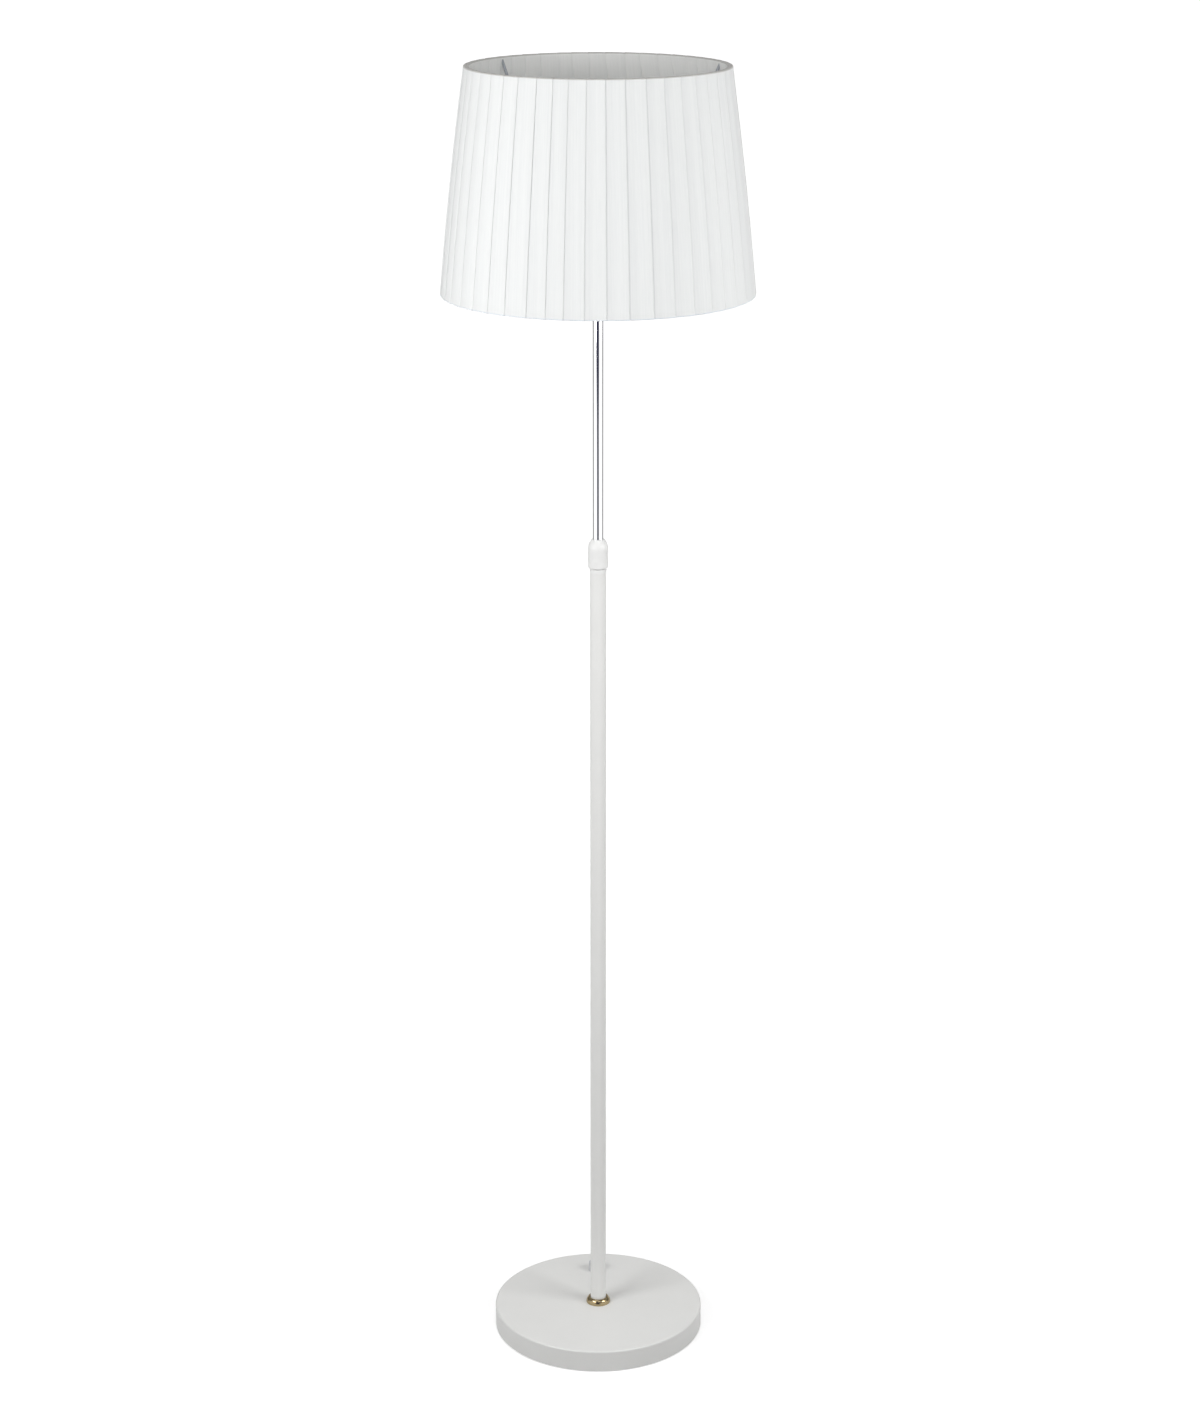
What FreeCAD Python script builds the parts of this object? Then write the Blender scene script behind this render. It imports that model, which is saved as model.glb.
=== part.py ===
import FreeCAD, Part
import math
import os

import Sketcher
from types import SimpleNamespace

# Telescopic floor lamp. Millimetres, +Z up, origin on the floor under the pole's axis, front towards -Y.

SIZES = {
    # fits
    "press_gap": 0.02,
    "running_gap": 0.05,
    "loose_gap": 0.3,
    "soft_gap": 0.3,
    # base
    "base_radius": 141.0,
    "base_height": 30.0,
    "base_wall": 1.2,
    "base_edge_radius": 2.4,
    "rim_height": 1.0,
    "pad_radius": 136.0,
    "pad_hole_radius": 20.0,
    "pad_thickness": 2.0,
    "weight_gap": 0.5,
    "weight_thickness": 8.0,
    "recess_radius": 16.0,
    "recess_depth": 5.0,
    "spacer_wall": 3.5,
    # clamping rod, its washer and nut
    "rod_radius": 5.0,
    "rod_bore": 3.8,
    "rod_end_gap": 0.5,
    "rod_grip": 19.0,
    "washer_radius": 13.0,
    "washer_thickness": 1.2,
    "nut_circumradius": 8.0,
    "nut_thickness": 3.0,
    # brass foot ring
    "ring_radius": 16.2,
    "ring_height": 8.0,
    "ring_floor": 2.5,
    "ring_lip": 1.2,
    "ring_top_radius": 12.3,
    "ring_mouth_radius": 11.7,
    "ring_mouth_depth": 2.0,
    # pole
    "pole_radius": 10.5,
    "pole_wall": 1.2,
    "pole_edge": 0.3,
    "lower_tube_length": 533.0,
    "upper_tube_length": 500.5,
    "insert_length": 25.0,
    "socket_length": 20.0,
    "stud_radius": 6.0,
    "stud_length": 16.0,
    "spigot_length": 15.0,
    "lead_bore": 4.2,
    # bush at the pole's top, collet and lock collar
    "stem_length": 30.0,
    "flange_radius": 10.9,
    "flange_height": 4.0,
    "neck_radius": 10.0,
    "neck_length": 22.0,
    "bush_clearance": 0.4,
    "collet_waist": 9.1,
    "collet_nose": 8.0,
    "collet_cone": 7.0,
    "collet_band": 3.0,
    "collet_slot": 1.2,
    "collar_gap": 2.0,
    "collar_height": 38.0,
    "collar_radius": 13.1,
    "collar_crown_radius": 8.1,
    "collar_crown_height": 13.0,
    "collar_foot_radius": 11.5,
    "collar_foot_height": 2.5,
    # mast
    "mast_radius": 7.0,
    "mast_wall": 0.8,
    "mast_length": 533.4,
    "stop_gap": 0.2,
    "stop_radius": 8.6,
    "stop_height": 4.0,
    "guide_length": 18.0,
    "clip_radius": 8.4,
    "clip_height": 1.5,
    "clip_gap": 0.1,
    "clip_inset": 0.5,
    "plug_length": 15.0,
    "nipple_below": 12.0,
    "nipple_above": 14.0,
    "head_washer_radius": 11.0,
    "head_washer_thickness": 1.5,
    # lampholder
    "cap_neck_radius": 8.5,
    "cap_neck_height": 2.0,
    "cap_radius": 20.0,
    "cap_dome_height": 16.0,
    "cap_height": 26.0,
    "cap_floor": 4.5,
    "cap_wall": 2.0,
    "cap_cavity_radius": 12.5,
    "cap_ledge_height": 18.0,
    "core_flange_height": 5.0,
    "core_boss_radius": 15.0,
    "core_height": 9.0,
    "core_bore": 3.2,
    "screw_reach": 8.0,
    "screw_radius": 1.5,
    "screw_length": 7.0,
    "screw_head_radius": 2.6,
    "screw_head_height": 1.8,
    "shell_bore": 13.1,
    "shell_wall": 0.8,
    "shell_height": 28.0,
    "shell_seat_bore": 11.5,
    "shell_seat_height": 5.0,
    "shell_eye": 4.5,
    "contact_radius": 3.6,
    "contact_height": 5.0,
    "sleeve_barrel_height": 12.0,
    "shoulder_radius": 22.5,
    "shoulder_height": 3.0,
    "sleeve_thread_radius": 19.4,
    "sleeve_thread_height": 17.0,
    "sleeve_bore": 15.9,
    "fitter_hole_radius": 20.2,
    "fitter_radius": 26.5,
    "fitter_thickness": 2.0,
    "shade_nut_flange_radius": 24.5,
    "shade_nut_flange_height": 2.0,
    "shade_nut_radius": 22.0,
    "shade_nut_height": 9.0,
    # shade frame
    "wire_radius": 1.75,
    "arm_angle": 19.0,
    "arm_count": 3,
    "arm_corner_radius": 107.0,
    "arm_bend_radius": 26.0,
    "carrier_drop": 112.3,
    # shade cover
    "shade_top_radius": 164.2,
    "shade_bottom_radius": 196.7,
    "shade_height": 279.3,
    "shade_bulge": 1.8,
    "lining_thickness": 0.6,
    "ribbon_thickness": 0.5,
    "pleat_step": 1.2,
    "pleat_count": 46,
    "pleat_start_angle": -93.4,
    "cover_bands": 6,
    "binding_thickness": 0.6,
    "binding_depth": 13.0,
    "binding_inset": 0.3,
    # foot switch
    "switch_distance": 91.0,
    "switch_angle": 92.3,
    "switch_radius": 11.0,
    "switch_height": 14.0,
    "switch_wall": 1.2,
    "switch_neck_radius": 8.0,
    "switch_neck_height": 11.8,
    "button_radius": 6.7,
    "button_rise": 18.0,
    "button_dome_height": 2.4,
    "button_flange_radius": 9.0,
    "button_flange_height": 3.2,
    "button_bore": 4.8,
    "button_roof": 13.0,
    "bezel_radius": 9.8,
    "bezel_height": 13.0,
    "bezel_side_height": 10.4,
    "bezel_top_radius": 7.9,
    "bezel_mouth_radius": 7.1,
    "bezel_lip": 0.9,
    "spring_radius": 3.9,
    "spring_wire_radius": 0.35,
    "spring_wire_sides": 8,
    "spring_turns": 7,
    "terminal_spacing": 10.0,
    "terminal_width": 6.3,
    "terminal_thickness": 0.8,
    "terminal_length": 3.6,
    # cord inlet and cord clamp
    "inlet_height": 19.4,
    "cord_bore": 3.6,
    "grommet_neck_radius": 5.2,
    "grommet_flange_radius": 7.0,
    "grommet_flange_thickness": 2.0,
    "grommet_inner_radius": 6.4,
    "grommet_inner_thickness": 2.2,
    "clamp_distance": 121.0,
    "clamp_length": 8.0,
    "clamp_width": 26.0,
    "clamp_height": 14.0,
    "clamp_screw_spacing": 18.0,
    "clamp_screw_radius": 1.5,
    "clamp_screw_depth": 5.0,
    "clamp_head_radius": 3.0,
    "clamp_head_height": 2.0,
}

FULL_TURN = 360
VERTICAL = FreeCAD.Vector(0, 0, 1)
SIDEWAYS = FreeCAD.Vector(1, 0, 0)


class Size:
    """A length that carries its value and the sheet formula that gives it."""

    def __init__(self, value, formula):
        self.value = float(value)
        self.formula = formula

    @staticmethod
    def of(other):
        return other if isinstance(other, Size) else Size(other, str(float(other)))

    def __add__(self, other):
        other = Size.of(other)
        return Size(self.value + other.value, f"({self.formula} + {other.formula})")

    def __sub__(self, other):
        other = Size.of(other)
        return Size(self.value - other.value, f"({self.formula} - {other.formula})")

    def __mul__(self, other):
        other = Size.of(other)
        return Size(self.value * other.value, f"({self.formula} * {other.formula})")

    def __truediv__(self, other):
        other = Size.of(other)
        return Size(self.value / other.value, f"({self.formula} / {other.formula})")

    def cosine_of(self, angle):
        """This length's share along X at an angle in degrees."""
        share = self.value * math.cos(math.radians(angle.value))
        return Size(share, f"({self.formula} * cos({angle.formula} * 1 deg))")

    def sine_of(self, angle):
        """This length's share along Y at an angle in degrees."""
        share = self.value * math.sin(math.radians(angle.value))
        return Size(share, f"({self.formula} * sin({angle.formula} * 1 deg))")


document = FreeCAD.newDocument("floor_lamp")
sheet = document.addObject("Spreadsheet::Sheet", "Sizes")
for row, (alias, number) in enumerate(SIZES.items(), start=1):
    sheet.set(f"A{row}", alias)
    sheet.set(f"B{row}", str(number))
    sheet.setAlias(f"B{row}", alias)
document.recompute()
size = SimpleNamespace(**{alias: Size(number, f"Sizes.{alias}") for alias, number in SIZES.items()})
ZERO = Size(0, "0")

# Heights above the floor, from the base upwards.
weight_bottom = size.pad_thickness
weight_top = weight_bottom + size.weight_thickness
recess_roof = weight_bottom + size.recess_depth
cover_inside = size.base_height - size.base_wall
rod_bottom = weight_bottom + size.rod_end_gap
tube_foot = size.base_height + size.ring_floor
seam = tube_foot + size.lower_tube_length
pole_end = seam + size.upper_tube_length
flange_top = pole_end + size.flange_height
neck_top = flange_top + size.neck_length
collar_bottom = flange_top + size.collar_gap
stop_top = pole_end - size.stem_length - size.stop_gap
guide_top = stop_top - size.stop_height - size.clip_gap
clip_top = guide_top - size.guide_length - size.clip_gap
mast_bottom = clip_top - size.clip_height - size.clip_inset
mast_top = mast_bottom + size.mast_length
holder_bottom = mast_top + size.head_washer_thickness
cap_ledge = holder_bottom + size.cap_ledge_height
cap_rim = holder_bottom + size.cap_height
skirt_bottom = cap_ledge + size.core_flange_height
core_top = cap_ledge + size.core_height
shoulder_top = cap_rim + size.sleeve_barrel_height + size.shoulder_height
arm_level = shoulder_top + size.fitter_thickness / 2
top_wire_level = arm_level + size.carrier_drop
shade_top = top_wire_level + size.wire_radius + size.soft_gap + size.binding_thickness
shade_bottom = shade_top - size.shade_height
bottom_wire_level = shade_bottom + size.binding_thickness + size.soft_gap + size.wire_radius
switch_bottom = cover_inside - size.switch_height

# Radii that several pieces share.
pole_bore = size.pole_radius - size.pole_wall
pressed_radius = pole_bore - size.press_gap
mast_bore = size.mast_radius - size.mast_wall
rod_hole = size.rod_radius + size.loose_gap
thread_hole = size.rod_radius + size.running_gap
lining_offset = size.pleat_step + size.ribbon_thickness + size.soft_gap
wire_offset = lining_offset + size.lining_thickness + size.soft_gap + size.wire_radius
top_wire_radius = size.shade_top_radius - wire_offset
bottom_wire_radius = size.shade_bottom_radius - wire_offset
button_bottom = size.switch_height - size.switch_wall - size.loose_gap - size.button_flange_height
button_roof = size.switch_height + size.base_wall + size.button_rise - size.button_roof


def easing(run, rise):
    """Radius of the arc that leaves a straight side smoothly and has come in by run after rise."""
    return (run * run + rise * rise) / (run * 2)


def new_body(name, bottom=ZERO):
    """An empty body whose own origin sits on the lamp's axis at the given height."""
    body = document.addObject("PartDesign::Body", name)
    body.Label = name
    body.setExpression("Placement.Base.z", bottom.formula)
    return body


def turn_body(body, angle):
    """Turn a body about the lamp's axis."""
    body.Placement = FreeCAD.Placement(FreeCAD.Vector(), FreeCAD.Rotation(VERTICAL, angle.value))
    body.setExpression("Placement.Rotation.Angle", angle.formula)


def stand_at_switch(body):
    """Move a body from the lamp's axis to the foot switch's axis."""
    body.setExpression("Placement.Base.x", size.switch_distance.cosine_of(size.switch_angle).formula)
    body.setExpression("Placement.Base.y", size.switch_distance.sine_of(size.switch_angle).formula)


def new_sketch(body, name, role):
    """A sketch flat on one of the body's origin planes."""
    plane = next(item for item in body.Origin.OriginFeatures if item.Role == role)
    sketch = body.newObject("Sketcher::SketchObject", name)
    sketch.AttachmentSupport = (plane, [""])
    sketch.MapMode = "FlatFace"
    return sketch


def hold(sketch, kind, where, length):
    """Add one dimension and bind it to its formula."""
    index = sketch.addConstraint(Sketcher.Constraint(kind, *where, length.value))
    sketch.setExpression(f"Constraints[{index}]", length.formula)


def hold_point(sketch, edge, end, across, up):
    """Hold one end of an edge at its distances from the sketch's origin."""
    if across is ZERO:
        sketch.addConstraint(Sketcher.Constraint("PointOnObject", edge, end, -2))
    else:
        hold(sketch, "DistanceX", (-1, 1, edge, end), across)
    if up is ZERO:
        sketch.addConstraint(Sketcher.Constraint("PointOnObject", edge, end, -1))
    else:
        hold(sketch, "DistanceY", (-1, 1, edge, end), up)


def arc_between(start, end, radius, side):
    """The arc under a half circle from start to end, with its centre on the left (1) or right (-1)."""
    chord = end - start
    half = chord.Length / 2
    across = FreeCAD.Vector(-chord.y, chord.x, 0) / chord.Length
    centre = (start + end) / 2 + across * side * math.sqrt(radius ** 2 - half ** 2)
    first, last = (start, end) if side > 0 else (end, start)
    angles = [math.atan2(point.y - centre.y, point.x - centre.x) for point in (first, last)]
    if angles[1] < angles[0]:
        angles[1] += 2 * math.pi
    return Part.ArcOfCircle(Part.Circle(centre, FreeCAD.Vector(0, 0, 1), radius), *angles)


def draw_outline(sketch, outline):
    """A closed outline. Each item is (across, up), or (across, up, radius, side) where the edge
    that leaves the point is an arc of that radius with its centre on the left (1) or right (-1)."""
    points = [FreeCAD.Vector(item[0].value, item[1].value, 0) for item in outline]
    ends = []
    for number, item in enumerate(outline):
        start = points[number]
        end = points[(number + 1) % len(points)]
        if len(item) == 4:
            radius, side = item[2:]
            edge = sketch.addGeometry(arc_between(start, end, radius.value, side))
            hold(sketch, "Radius", (edge,), radius)
            ends.append((edge, 1, 2) if side > 0 else (edge, 2, 1))
        else:
            edge = sketch.addGeometry(Part.LineSegment(start, end))
            ends.append((edge, 1, 2))
    for number, item in enumerate(outline):
        edge, first, last = ends[number]
        following = ends[(number + 1) % len(ends)]
        sketch.addConstraint(Sketcher.Constraint("Coincident", edge, last, following[0], following[1]))
        hold_point(sketch, edge, first, item[0], item[1])


def draw_circle(sketch, radius, across=ZERO, up=ZERO):
    """A circle held by its radius and its centre."""
    centre = FreeCAD.Vector(across.value, up.value, 0)
    edge = sketch.addGeometry(Part.Circle(centre, FreeCAD.Vector(0, 0, 1), radius.value))
    hold(sketch, "Radius", (edge,), radius)
    hold_point(sketch, edge, 3, across, up)


def turned(name, outline, bottom):
    """A piece turned about the vertical axis from its half section."""
    body = new_body(name, bottom)
    sketch = new_sketch(body, f"{name}_section", "XZ_Plane")
    draw_outline(sketch, outline)
    turning = body.newObject("PartDesign::Revolution", f"{name}_turning")
    turning.Profile = sketch
    turning.ReferenceAxis = (sketch, ["V_Axis"])
    turning.Angle = FULL_TURN
    sketch.Visibility = False
    return body


def tube(name, outer, inner, length, bottom):
    """A plain tube, washer or disc with a hole."""
    body = new_body(name, bottom)
    sketch = new_sketch(body, f"{name}_ring", "XY_Plane")
    draw_circle(sketch, outer)
    draw_circle(sketch, inner)
    pad = body.newObject("PartDesign::Pad", f"{name}_pad")
    pad.Profile = sketch
    pad.setExpression("Length", length.formula)
    return body


def drill(body, name, role, circles, one_way=False):
    """Cut round holes (radius, across, up) through the body, square to one of its planes."""
    sketch = new_sketch(body, f"{name}_circles", role)
    for circle in circles:
        draw_circle(sketch, *circle)
    document.recompute()
    pocket = body.newObject("PartDesign::Pocket", name)
    pocket.Profile = sketch
    pocket.Type = "ThroughAll"
    if one_way:
        pocket.Reversed = True
    else:
        pocket.Midplane = True
    return pocket


def hex_nut(name, bottom):
    """A thin hexagon nut for the hollow rod."""
    blank = document.addObject("Part::Prism", f"{name}_blank")
    blank.Polygon = 6
    blank.setExpression("Circumradius", size.nut_circumradius.formula)
    blank.setExpression("Height", size.nut_thickness.formula)
    hole = document.addObject("Part::Cylinder", f"{name}_hole")
    hole.setExpression("Radius", thread_hole.formula)
    hole.setExpression("Height", size.nut_thickness.formula)
    nut = document.addObject("Part::Cut", name)
    nut.Base = blank
    nut.Tool = hole
    nut.Label = name
    nut.setExpression("Placement.Base.z", bottom.formula)
    return nut


def base_pad():
    """Foam ring that the lamp stands on."""
    return tube("base_pad", size.pad_radius, size.pad_hole_radius, size.pad_thickness, ZERO)


def base_weight():
    """Cast disc with a recess below for the washer and nut, and two tapped holes for the cord clamp."""
    radius = size.base_radius - size.base_wall - size.weight_gap
    body = turned("base_weight", [
        (size.recess_radius, ZERO),
        (radius, ZERO),
        (radius, size.weight_thickness),
        (rod_hole, size.weight_thickness),
        (rod_hole, size.recess_depth),
        (size.recess_radius, size.recess_depth),
    ], weight_bottom)
    turn_body(body, size.switch_angle)
    half = size.clamp_screw_spacing / 2
    hole = size.clamp_screw_radius + size.running_gap
    drill(body, "clamp_screw_holes", "XY_Plane", [
        (hole, size.clamp_distance, half),
        (hole, size.clamp_distance, half * -1),
    ])
    return body


def base_cover():
    """Pressed cover: flat top, rounded edge, straight skirt, and holes for rod, switch and inlet."""
    radius = size.base_radius
    top = size.base_height - size.rim_height
    under = top - size.base_wall
    edge = size.base_edge_radius
    inner_edge = edge - size.base_wall
    body = turned("base_cover", [
        (radius - size.base_wall, ZERO),
        (radius, ZERO),
        (radius, top - edge, edge, 1),
        (radius - edge, top),
        (rod_hole, top),
        (rod_hole, under),
        (radius - edge, under, inner_edge, -1),
        (radius - size.base_wall, top - edge),
    ], size.rim_height)
    turn_body(body, size.switch_angle)
    neck_hole = size.switch_neck_radius + size.loose_gap / 2
    drill(body, "switch_hole", "XY_Plane", [(neck_hole, size.switch_distance, ZERO)])
    inlet_hole = size.grommet_neck_radius + size.running_gap
    drill(body, "inlet_hole", "YZ_Plane", [(inlet_hole, ZERO, size.inlet_height - size.rim_height)], True)
    return body


def base_spacer():
    """Sleeve round the rod that carries the cover's top."""
    return tube("base_spacer", rod_hole + size.spacer_wall, rod_hole, cover_inside - weight_top, weight_top)


def foot_ring():
    """Brass ring that the pole stands in: a rounded brow outside, a flared mouth inside."""
    tube_hole = size.pole_radius + size.loose_gap / 2
    brow = easing(size.ring_radius - size.ring_top_radius, size.ring_height - size.ring_lip)
    return turned("foot_ring", [
        (rod_hole, ZERO),
        (size.ring_radius, ZERO),
        (size.ring_radius, size.ring_lip, brow, 1),
        (size.ring_top_radius, size.ring_height),
        (size.ring_mouth_radius, size.ring_height),
        (tube_hole, size.ring_height - size.ring_mouth_depth),
        (tube_hole, size.ring_floor),
        (rod_hole, size.ring_floor),
    ], size.base_height)


def clamping_set():
    """Hollow rod from the nut under the weight up into the pole's foot insert, with washer and nut."""
    length = tube_foot + size.rod_grip - rod_bottom
    washer_bottom = recess_roof - size.washer_thickness
    return [
        tube("tie_rod", size.rod_radius, size.rod_bore, length, rod_bottom),
        tube("tie_washer", size.washer_radius, rod_hole, size.washer_thickness, washer_bottom),
        hex_nut("tie_nut", washer_bottom - size.nut_thickness),
    ]


def pole_tube(name, length, bottom):
    """One length of pole, with its edges broken so that the seam shows."""
    edge = size.pole_edge
    return turned(name, [
        (pole_bore, ZERO),
        (size.pole_radius - edge, ZERO),
        (size.pole_radius, edge),
        (size.pole_radius, length - edge),
        (size.pole_radius - edge, length),
        (pole_bore, length),
    ], bottom)


def pole_inserts():
    """Threaded plug in the pole's foot and the socket in the lower tube's top."""
    stud_hole = size.stud_radius + size.running_gap
    return [
        tube("foot_insert", pressed_radius, thread_hole, size.insert_length, tube_foot),
        tube("seam_socket", pressed_radius, stud_hole, size.socket_length, seam - size.socket_length),
    ]


def seam_spigot():
    """Plug in the upper tube's foot with a hollow threaded stud below the seam."""
    top = size.stud_length + size.spigot_length
    return turned("seam_spigot", [
        (size.lead_bore, ZERO),
        (size.stud_radius, ZERO),
        (size.stud_radius, size.stud_length),
        (pressed_radius, size.stud_length),
        (pressed_radius, top),
        (size.lead_bore, top),
    ], seam - size.stud_length)


def top_bush():
    """Bush in the pole's top: stem inside, thin flange, threaded neck with a coned seat for the collet."""
    bore = size.mast_radius + size.bush_clearance
    flange = size.stem_length + size.flange_height
    neck = flange + size.neck_length
    return turned("top_bush", [
        (bore, ZERO),
        (pressed_radius, ZERO),
        (pressed_radius, size.stem_length),
        (size.flange_radius, size.stem_length),
        (size.flange_radius, flange),
        (size.neck_radius, flange),
        (size.neck_radius, neck),
        (size.collet_waist + size.running_gap, neck),
        (size.collet_nose + size.running_gap, neck - size.collet_cone),
        (bore, neck - size.collet_cone),
    ], pole_end - size.stem_length)


def collet():
    """Split ring with a cone at each end, squeezed on to the mast by the collar."""
    inside = size.mast_radius + size.running_gap
    band = size.collet_cone + size.collet_band
    top = band + size.collet_cone
    body = turned("collet", [
        (inside, ZERO),
        (size.collet_nose, ZERO),
        (size.collet_waist, size.collet_cone),
        (size.collet_waist, band),
        (size.collet_nose, top),
        (inside, top),
    ], neck_top - size.collet_cone)
    sketch = new_sketch(body, "collet_slot_outline", "XY_Plane")
    half = size.collet_slot / 2
    reach = size.collet_waist + size.loose_gap
    draw_outline(sketch, [(ZERO, half * -1), (reach, half * -1), (reach, half), (ZERO, half)])
    document.recompute()
    slot = body.newObject("PartDesign::Pocket", "collet_slot_cut")
    slot.Profile = sketch
    slot.Type = "ThroughAll"
    slot.Midplane = True
    return body


def lock_collar():
    """Twist collar: threaded skirt, inner cone over the collet, domed crown closing on the mast."""
    bore = size.neck_radius + size.running_gap
    skirt_top = neck_top - collar_bottom + size.collet_band / 2
    cone_bottom = neck_top - collar_bottom + size.collet_band
    cone_top = cone_bottom + size.collet_cone
    crown = size.collar_height - size.collar_crown_height
    crown_bore = size.mast_radius + size.loose_gap
    foot_curve = easing(size.collar_radius - size.collar_foot_radius, size.collar_foot_height)
    crown_curve = easing(size.collar_radius - size.collar_crown_radius, size.collar_crown_height)
    return turned("lock_collar", [
        (bore, ZERO),
        (size.collar_foot_radius, ZERO, foot_curve, 1),
        (size.collar_radius, size.collar_foot_height),
        (size.collar_radius, crown, crown_curve, 1),
        (size.collar_crown_radius, size.collar_height),
        (crown_bore, size.collar_height),
        (crown_bore, cone_top),
        (size.collet_nose + size.running_gap, cone_top),
        (size.collet_waist + size.running_gap, cone_bottom),
        (size.collet_waist + size.running_gap, skirt_top),
        (bore, skirt_top),
    ], collar_bottom)


def mast():
    """Chrome tube with its stop ring, nylon guide and clip at the foot and threaded plug at the top."""
    on_tube = size.mast_radius + size.press_gap
    in_guide = size.mast_radius + size.running_gap
    guide_radius = pole_bore - size.running_gap
    plug_radius = mast_bore - size.press_gap
    stop_bottom = stop_top - size.stop_height
    guide_bottom = guide_top - size.guide_length
    clip_bottom = clip_top - size.clip_height
    return [
        tube("inner_tube", size.mast_radius, mast_bore, size.mast_length, mast_bottom),
        tube("stop_ring", size.stop_radius, on_tube, size.stop_height, stop_bottom),
        tube("guide_bush", guide_radius, in_guide, size.guide_length, guide_bottom),
        tube("foot_clip", size.clip_radius, on_tube, size.clip_height, clip_bottom),
        tube("mast_plug", plug_radius, thread_hole, size.plug_length, mast_top - size.plug_length),
    ]


def holder_fixing():
    """Washer on the mast's top, hollow nipple through it and a nut inside the holder's cap."""
    nipple_length = size.nipple_below + size.nipple_above
    return [
        tube("holder_washer", size.head_washer_radius, rod_hole, size.head_washer_thickness, mast_top),
        tube("head_nipple", size.rod_radius, size.rod_bore, nipple_length, mast_top - size.nipple_below),
        hex_nut("nipple_nut", holder_bottom + size.cap_floor),
    ]


def holder_cap():
    """Moulded cap: threaded floor, domed side, ledge for the core and a rim for the sleeve."""
    rim_bore = size.cap_radius - size.cap_wall
    dome = easing(size.cap_radius - size.cap_neck_radius, size.cap_dome_height - size.cap_neck_height)
    return turned("holder_cap", [
        (thread_hole, ZERO),
        (size.cap_neck_radius, ZERO),
        (size.cap_neck_radius, size.cap_neck_height, dome, 1),
        (size.cap_radius, size.cap_dome_height),
        (size.cap_radius, size.cap_height),
        (rim_bore, size.cap_height),
        (rim_bore, size.cap_ledge_height),
        (size.cap_cavity_radius, size.cap_ledge_height),
        (size.cap_cavity_radius, size.cap_floor),
        (thread_hole, size.cap_floor),
    ], holder_bottom)


def holder_core():
    """Insulating core on the cap's ledge, with two screw holes and an eye for the centre contact."""
    flange = size.cap_radius - size.cap_wall - size.running_gap
    body = turned("holder_core", [
        (size.core_bore, ZERO),
        (flange, ZERO),
        (flange, size.core_flange_height),
        (size.core_boss_radius, size.core_flange_height),
        (size.core_boss_radius, size.core_height),
        (size.core_bore, size.core_height),
    ], cap_ledge)
    hole = size.screw_radius + size.running_gap
    drill(body, "terminal_holes", "XY_Plane", [
        (hole, size.screw_reach, ZERO),
        (hole, size.screw_reach * -1, ZERO),
    ])
    return body


def screw_pair(name, spacing, radius, length, head_radius, head_height, bottom):
    """Two upright screws side by side along X, their heads below (negative length turns them over)."""
    screws = []
    for side in (-1, 1):
        shank = document.addObject("Part::Cylinder", f"{name}_shank")
        shank.setExpression("Radius", radius.formula)
        shank.setExpression("Height", length.formula)
        shank.setExpression("Placement.Base.x", (spacing * side / 2).formula)
        head = document.addObject("Part::Cylinder", f"{name}_head")
        head.setExpression("Radius", head_radius.formula)
        head.setExpression("Height", head_height.formula)
        head.setExpression("Placement.Base.x", (spacing * side / 2).formula)
        head.setExpression("Placement.Base.z", (head_height * -1).formula)
        screw = document.addObject("Part::Fuse", f"{name}_screw")
        screw.Base = shank
        screw.Tool = head
        screws.append(screw)
    pair = document.addObject("Part::Compound", name)
    pair.Links = screws
    pair.Label = name
    pair.setExpression("Placement.Base.z", bottom.formula)
    return pair


def terminal_screws():
    """Two terminal screws driven up into the core from the wiring side."""
    return screw_pair("terminal_screws", size.screw_reach * 2, size.screw_radius, size.screw_length,
                      size.screw_head_radius, size.screw_head_height, cap_ledge)


def screw_shell():
    """Thin metal cup that the lamp cap screws into, narrower at its seat round the contact."""
    outside = size.shell_bore + size.shell_wall
    seat_outside = size.shell_seat_bore + size.shell_wall
    step = size.shell_seat_height + size.shell_wall
    return turned("screw_shell", [
        (size.shell_eye, ZERO),
        (seat_outside, ZERO),
        (seat_outside, size.shell_seat_height),
        (outside, size.shell_seat_height),
        (outside, size.shell_height),
        (size.shell_bore, size.shell_height),
        (size.shell_bore, step),
        (size.shell_seat_bore, step),
        (size.shell_seat_bore, size.shell_wall),
        (size.shell_eye, size.shell_wall),
    ], core_top)


def centre_contact():
    """Brass rivet contact: shank in the core's eye and a domed head under the lamp."""
    shank = size.core_bore - size.running_gap
    head = size.core_height
    top = head + size.contact_height
    return turned("centre_contact", [
        (ZERO, ZERO),
        (shank, ZERO),
        (shank, head),
        (size.contact_radius, head),
        (size.contact_radius, top - size.contact_radius / 2),
        (size.contact_radius / 2, top),
        (ZERO, top),
    ], cap_ledge)


def holder_sleeve():
    """Outer sleeve: skirt inside the cap, barrel, shoulder for the shade and an outside thread."""
    skirt = size.cap_radius - size.cap_wall - size.running_gap
    skirt_height = cap_rim - skirt_bottom
    barrel = skirt_height + size.sleeve_barrel_height
    shoulder = barrel + size.shoulder_height
    top = shoulder + size.sleeve_thread_height
    return turned("holder_sleeve", [
        (size.sleeve_bore, ZERO),
        (skirt, ZERO),
        (skirt, skirt_height),
        (size.cap_radius, skirt_height),
        (size.cap_radius, barrel),
        (size.shoulder_radius, barrel),
        (size.shoulder_radius, shoulder),
        (size.sleeve_thread_radius, shoulder),
        (size.sleeve_thread_radius, top),
        (size.sleeve_bore, top),
    ], skirt_bottom)


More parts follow.
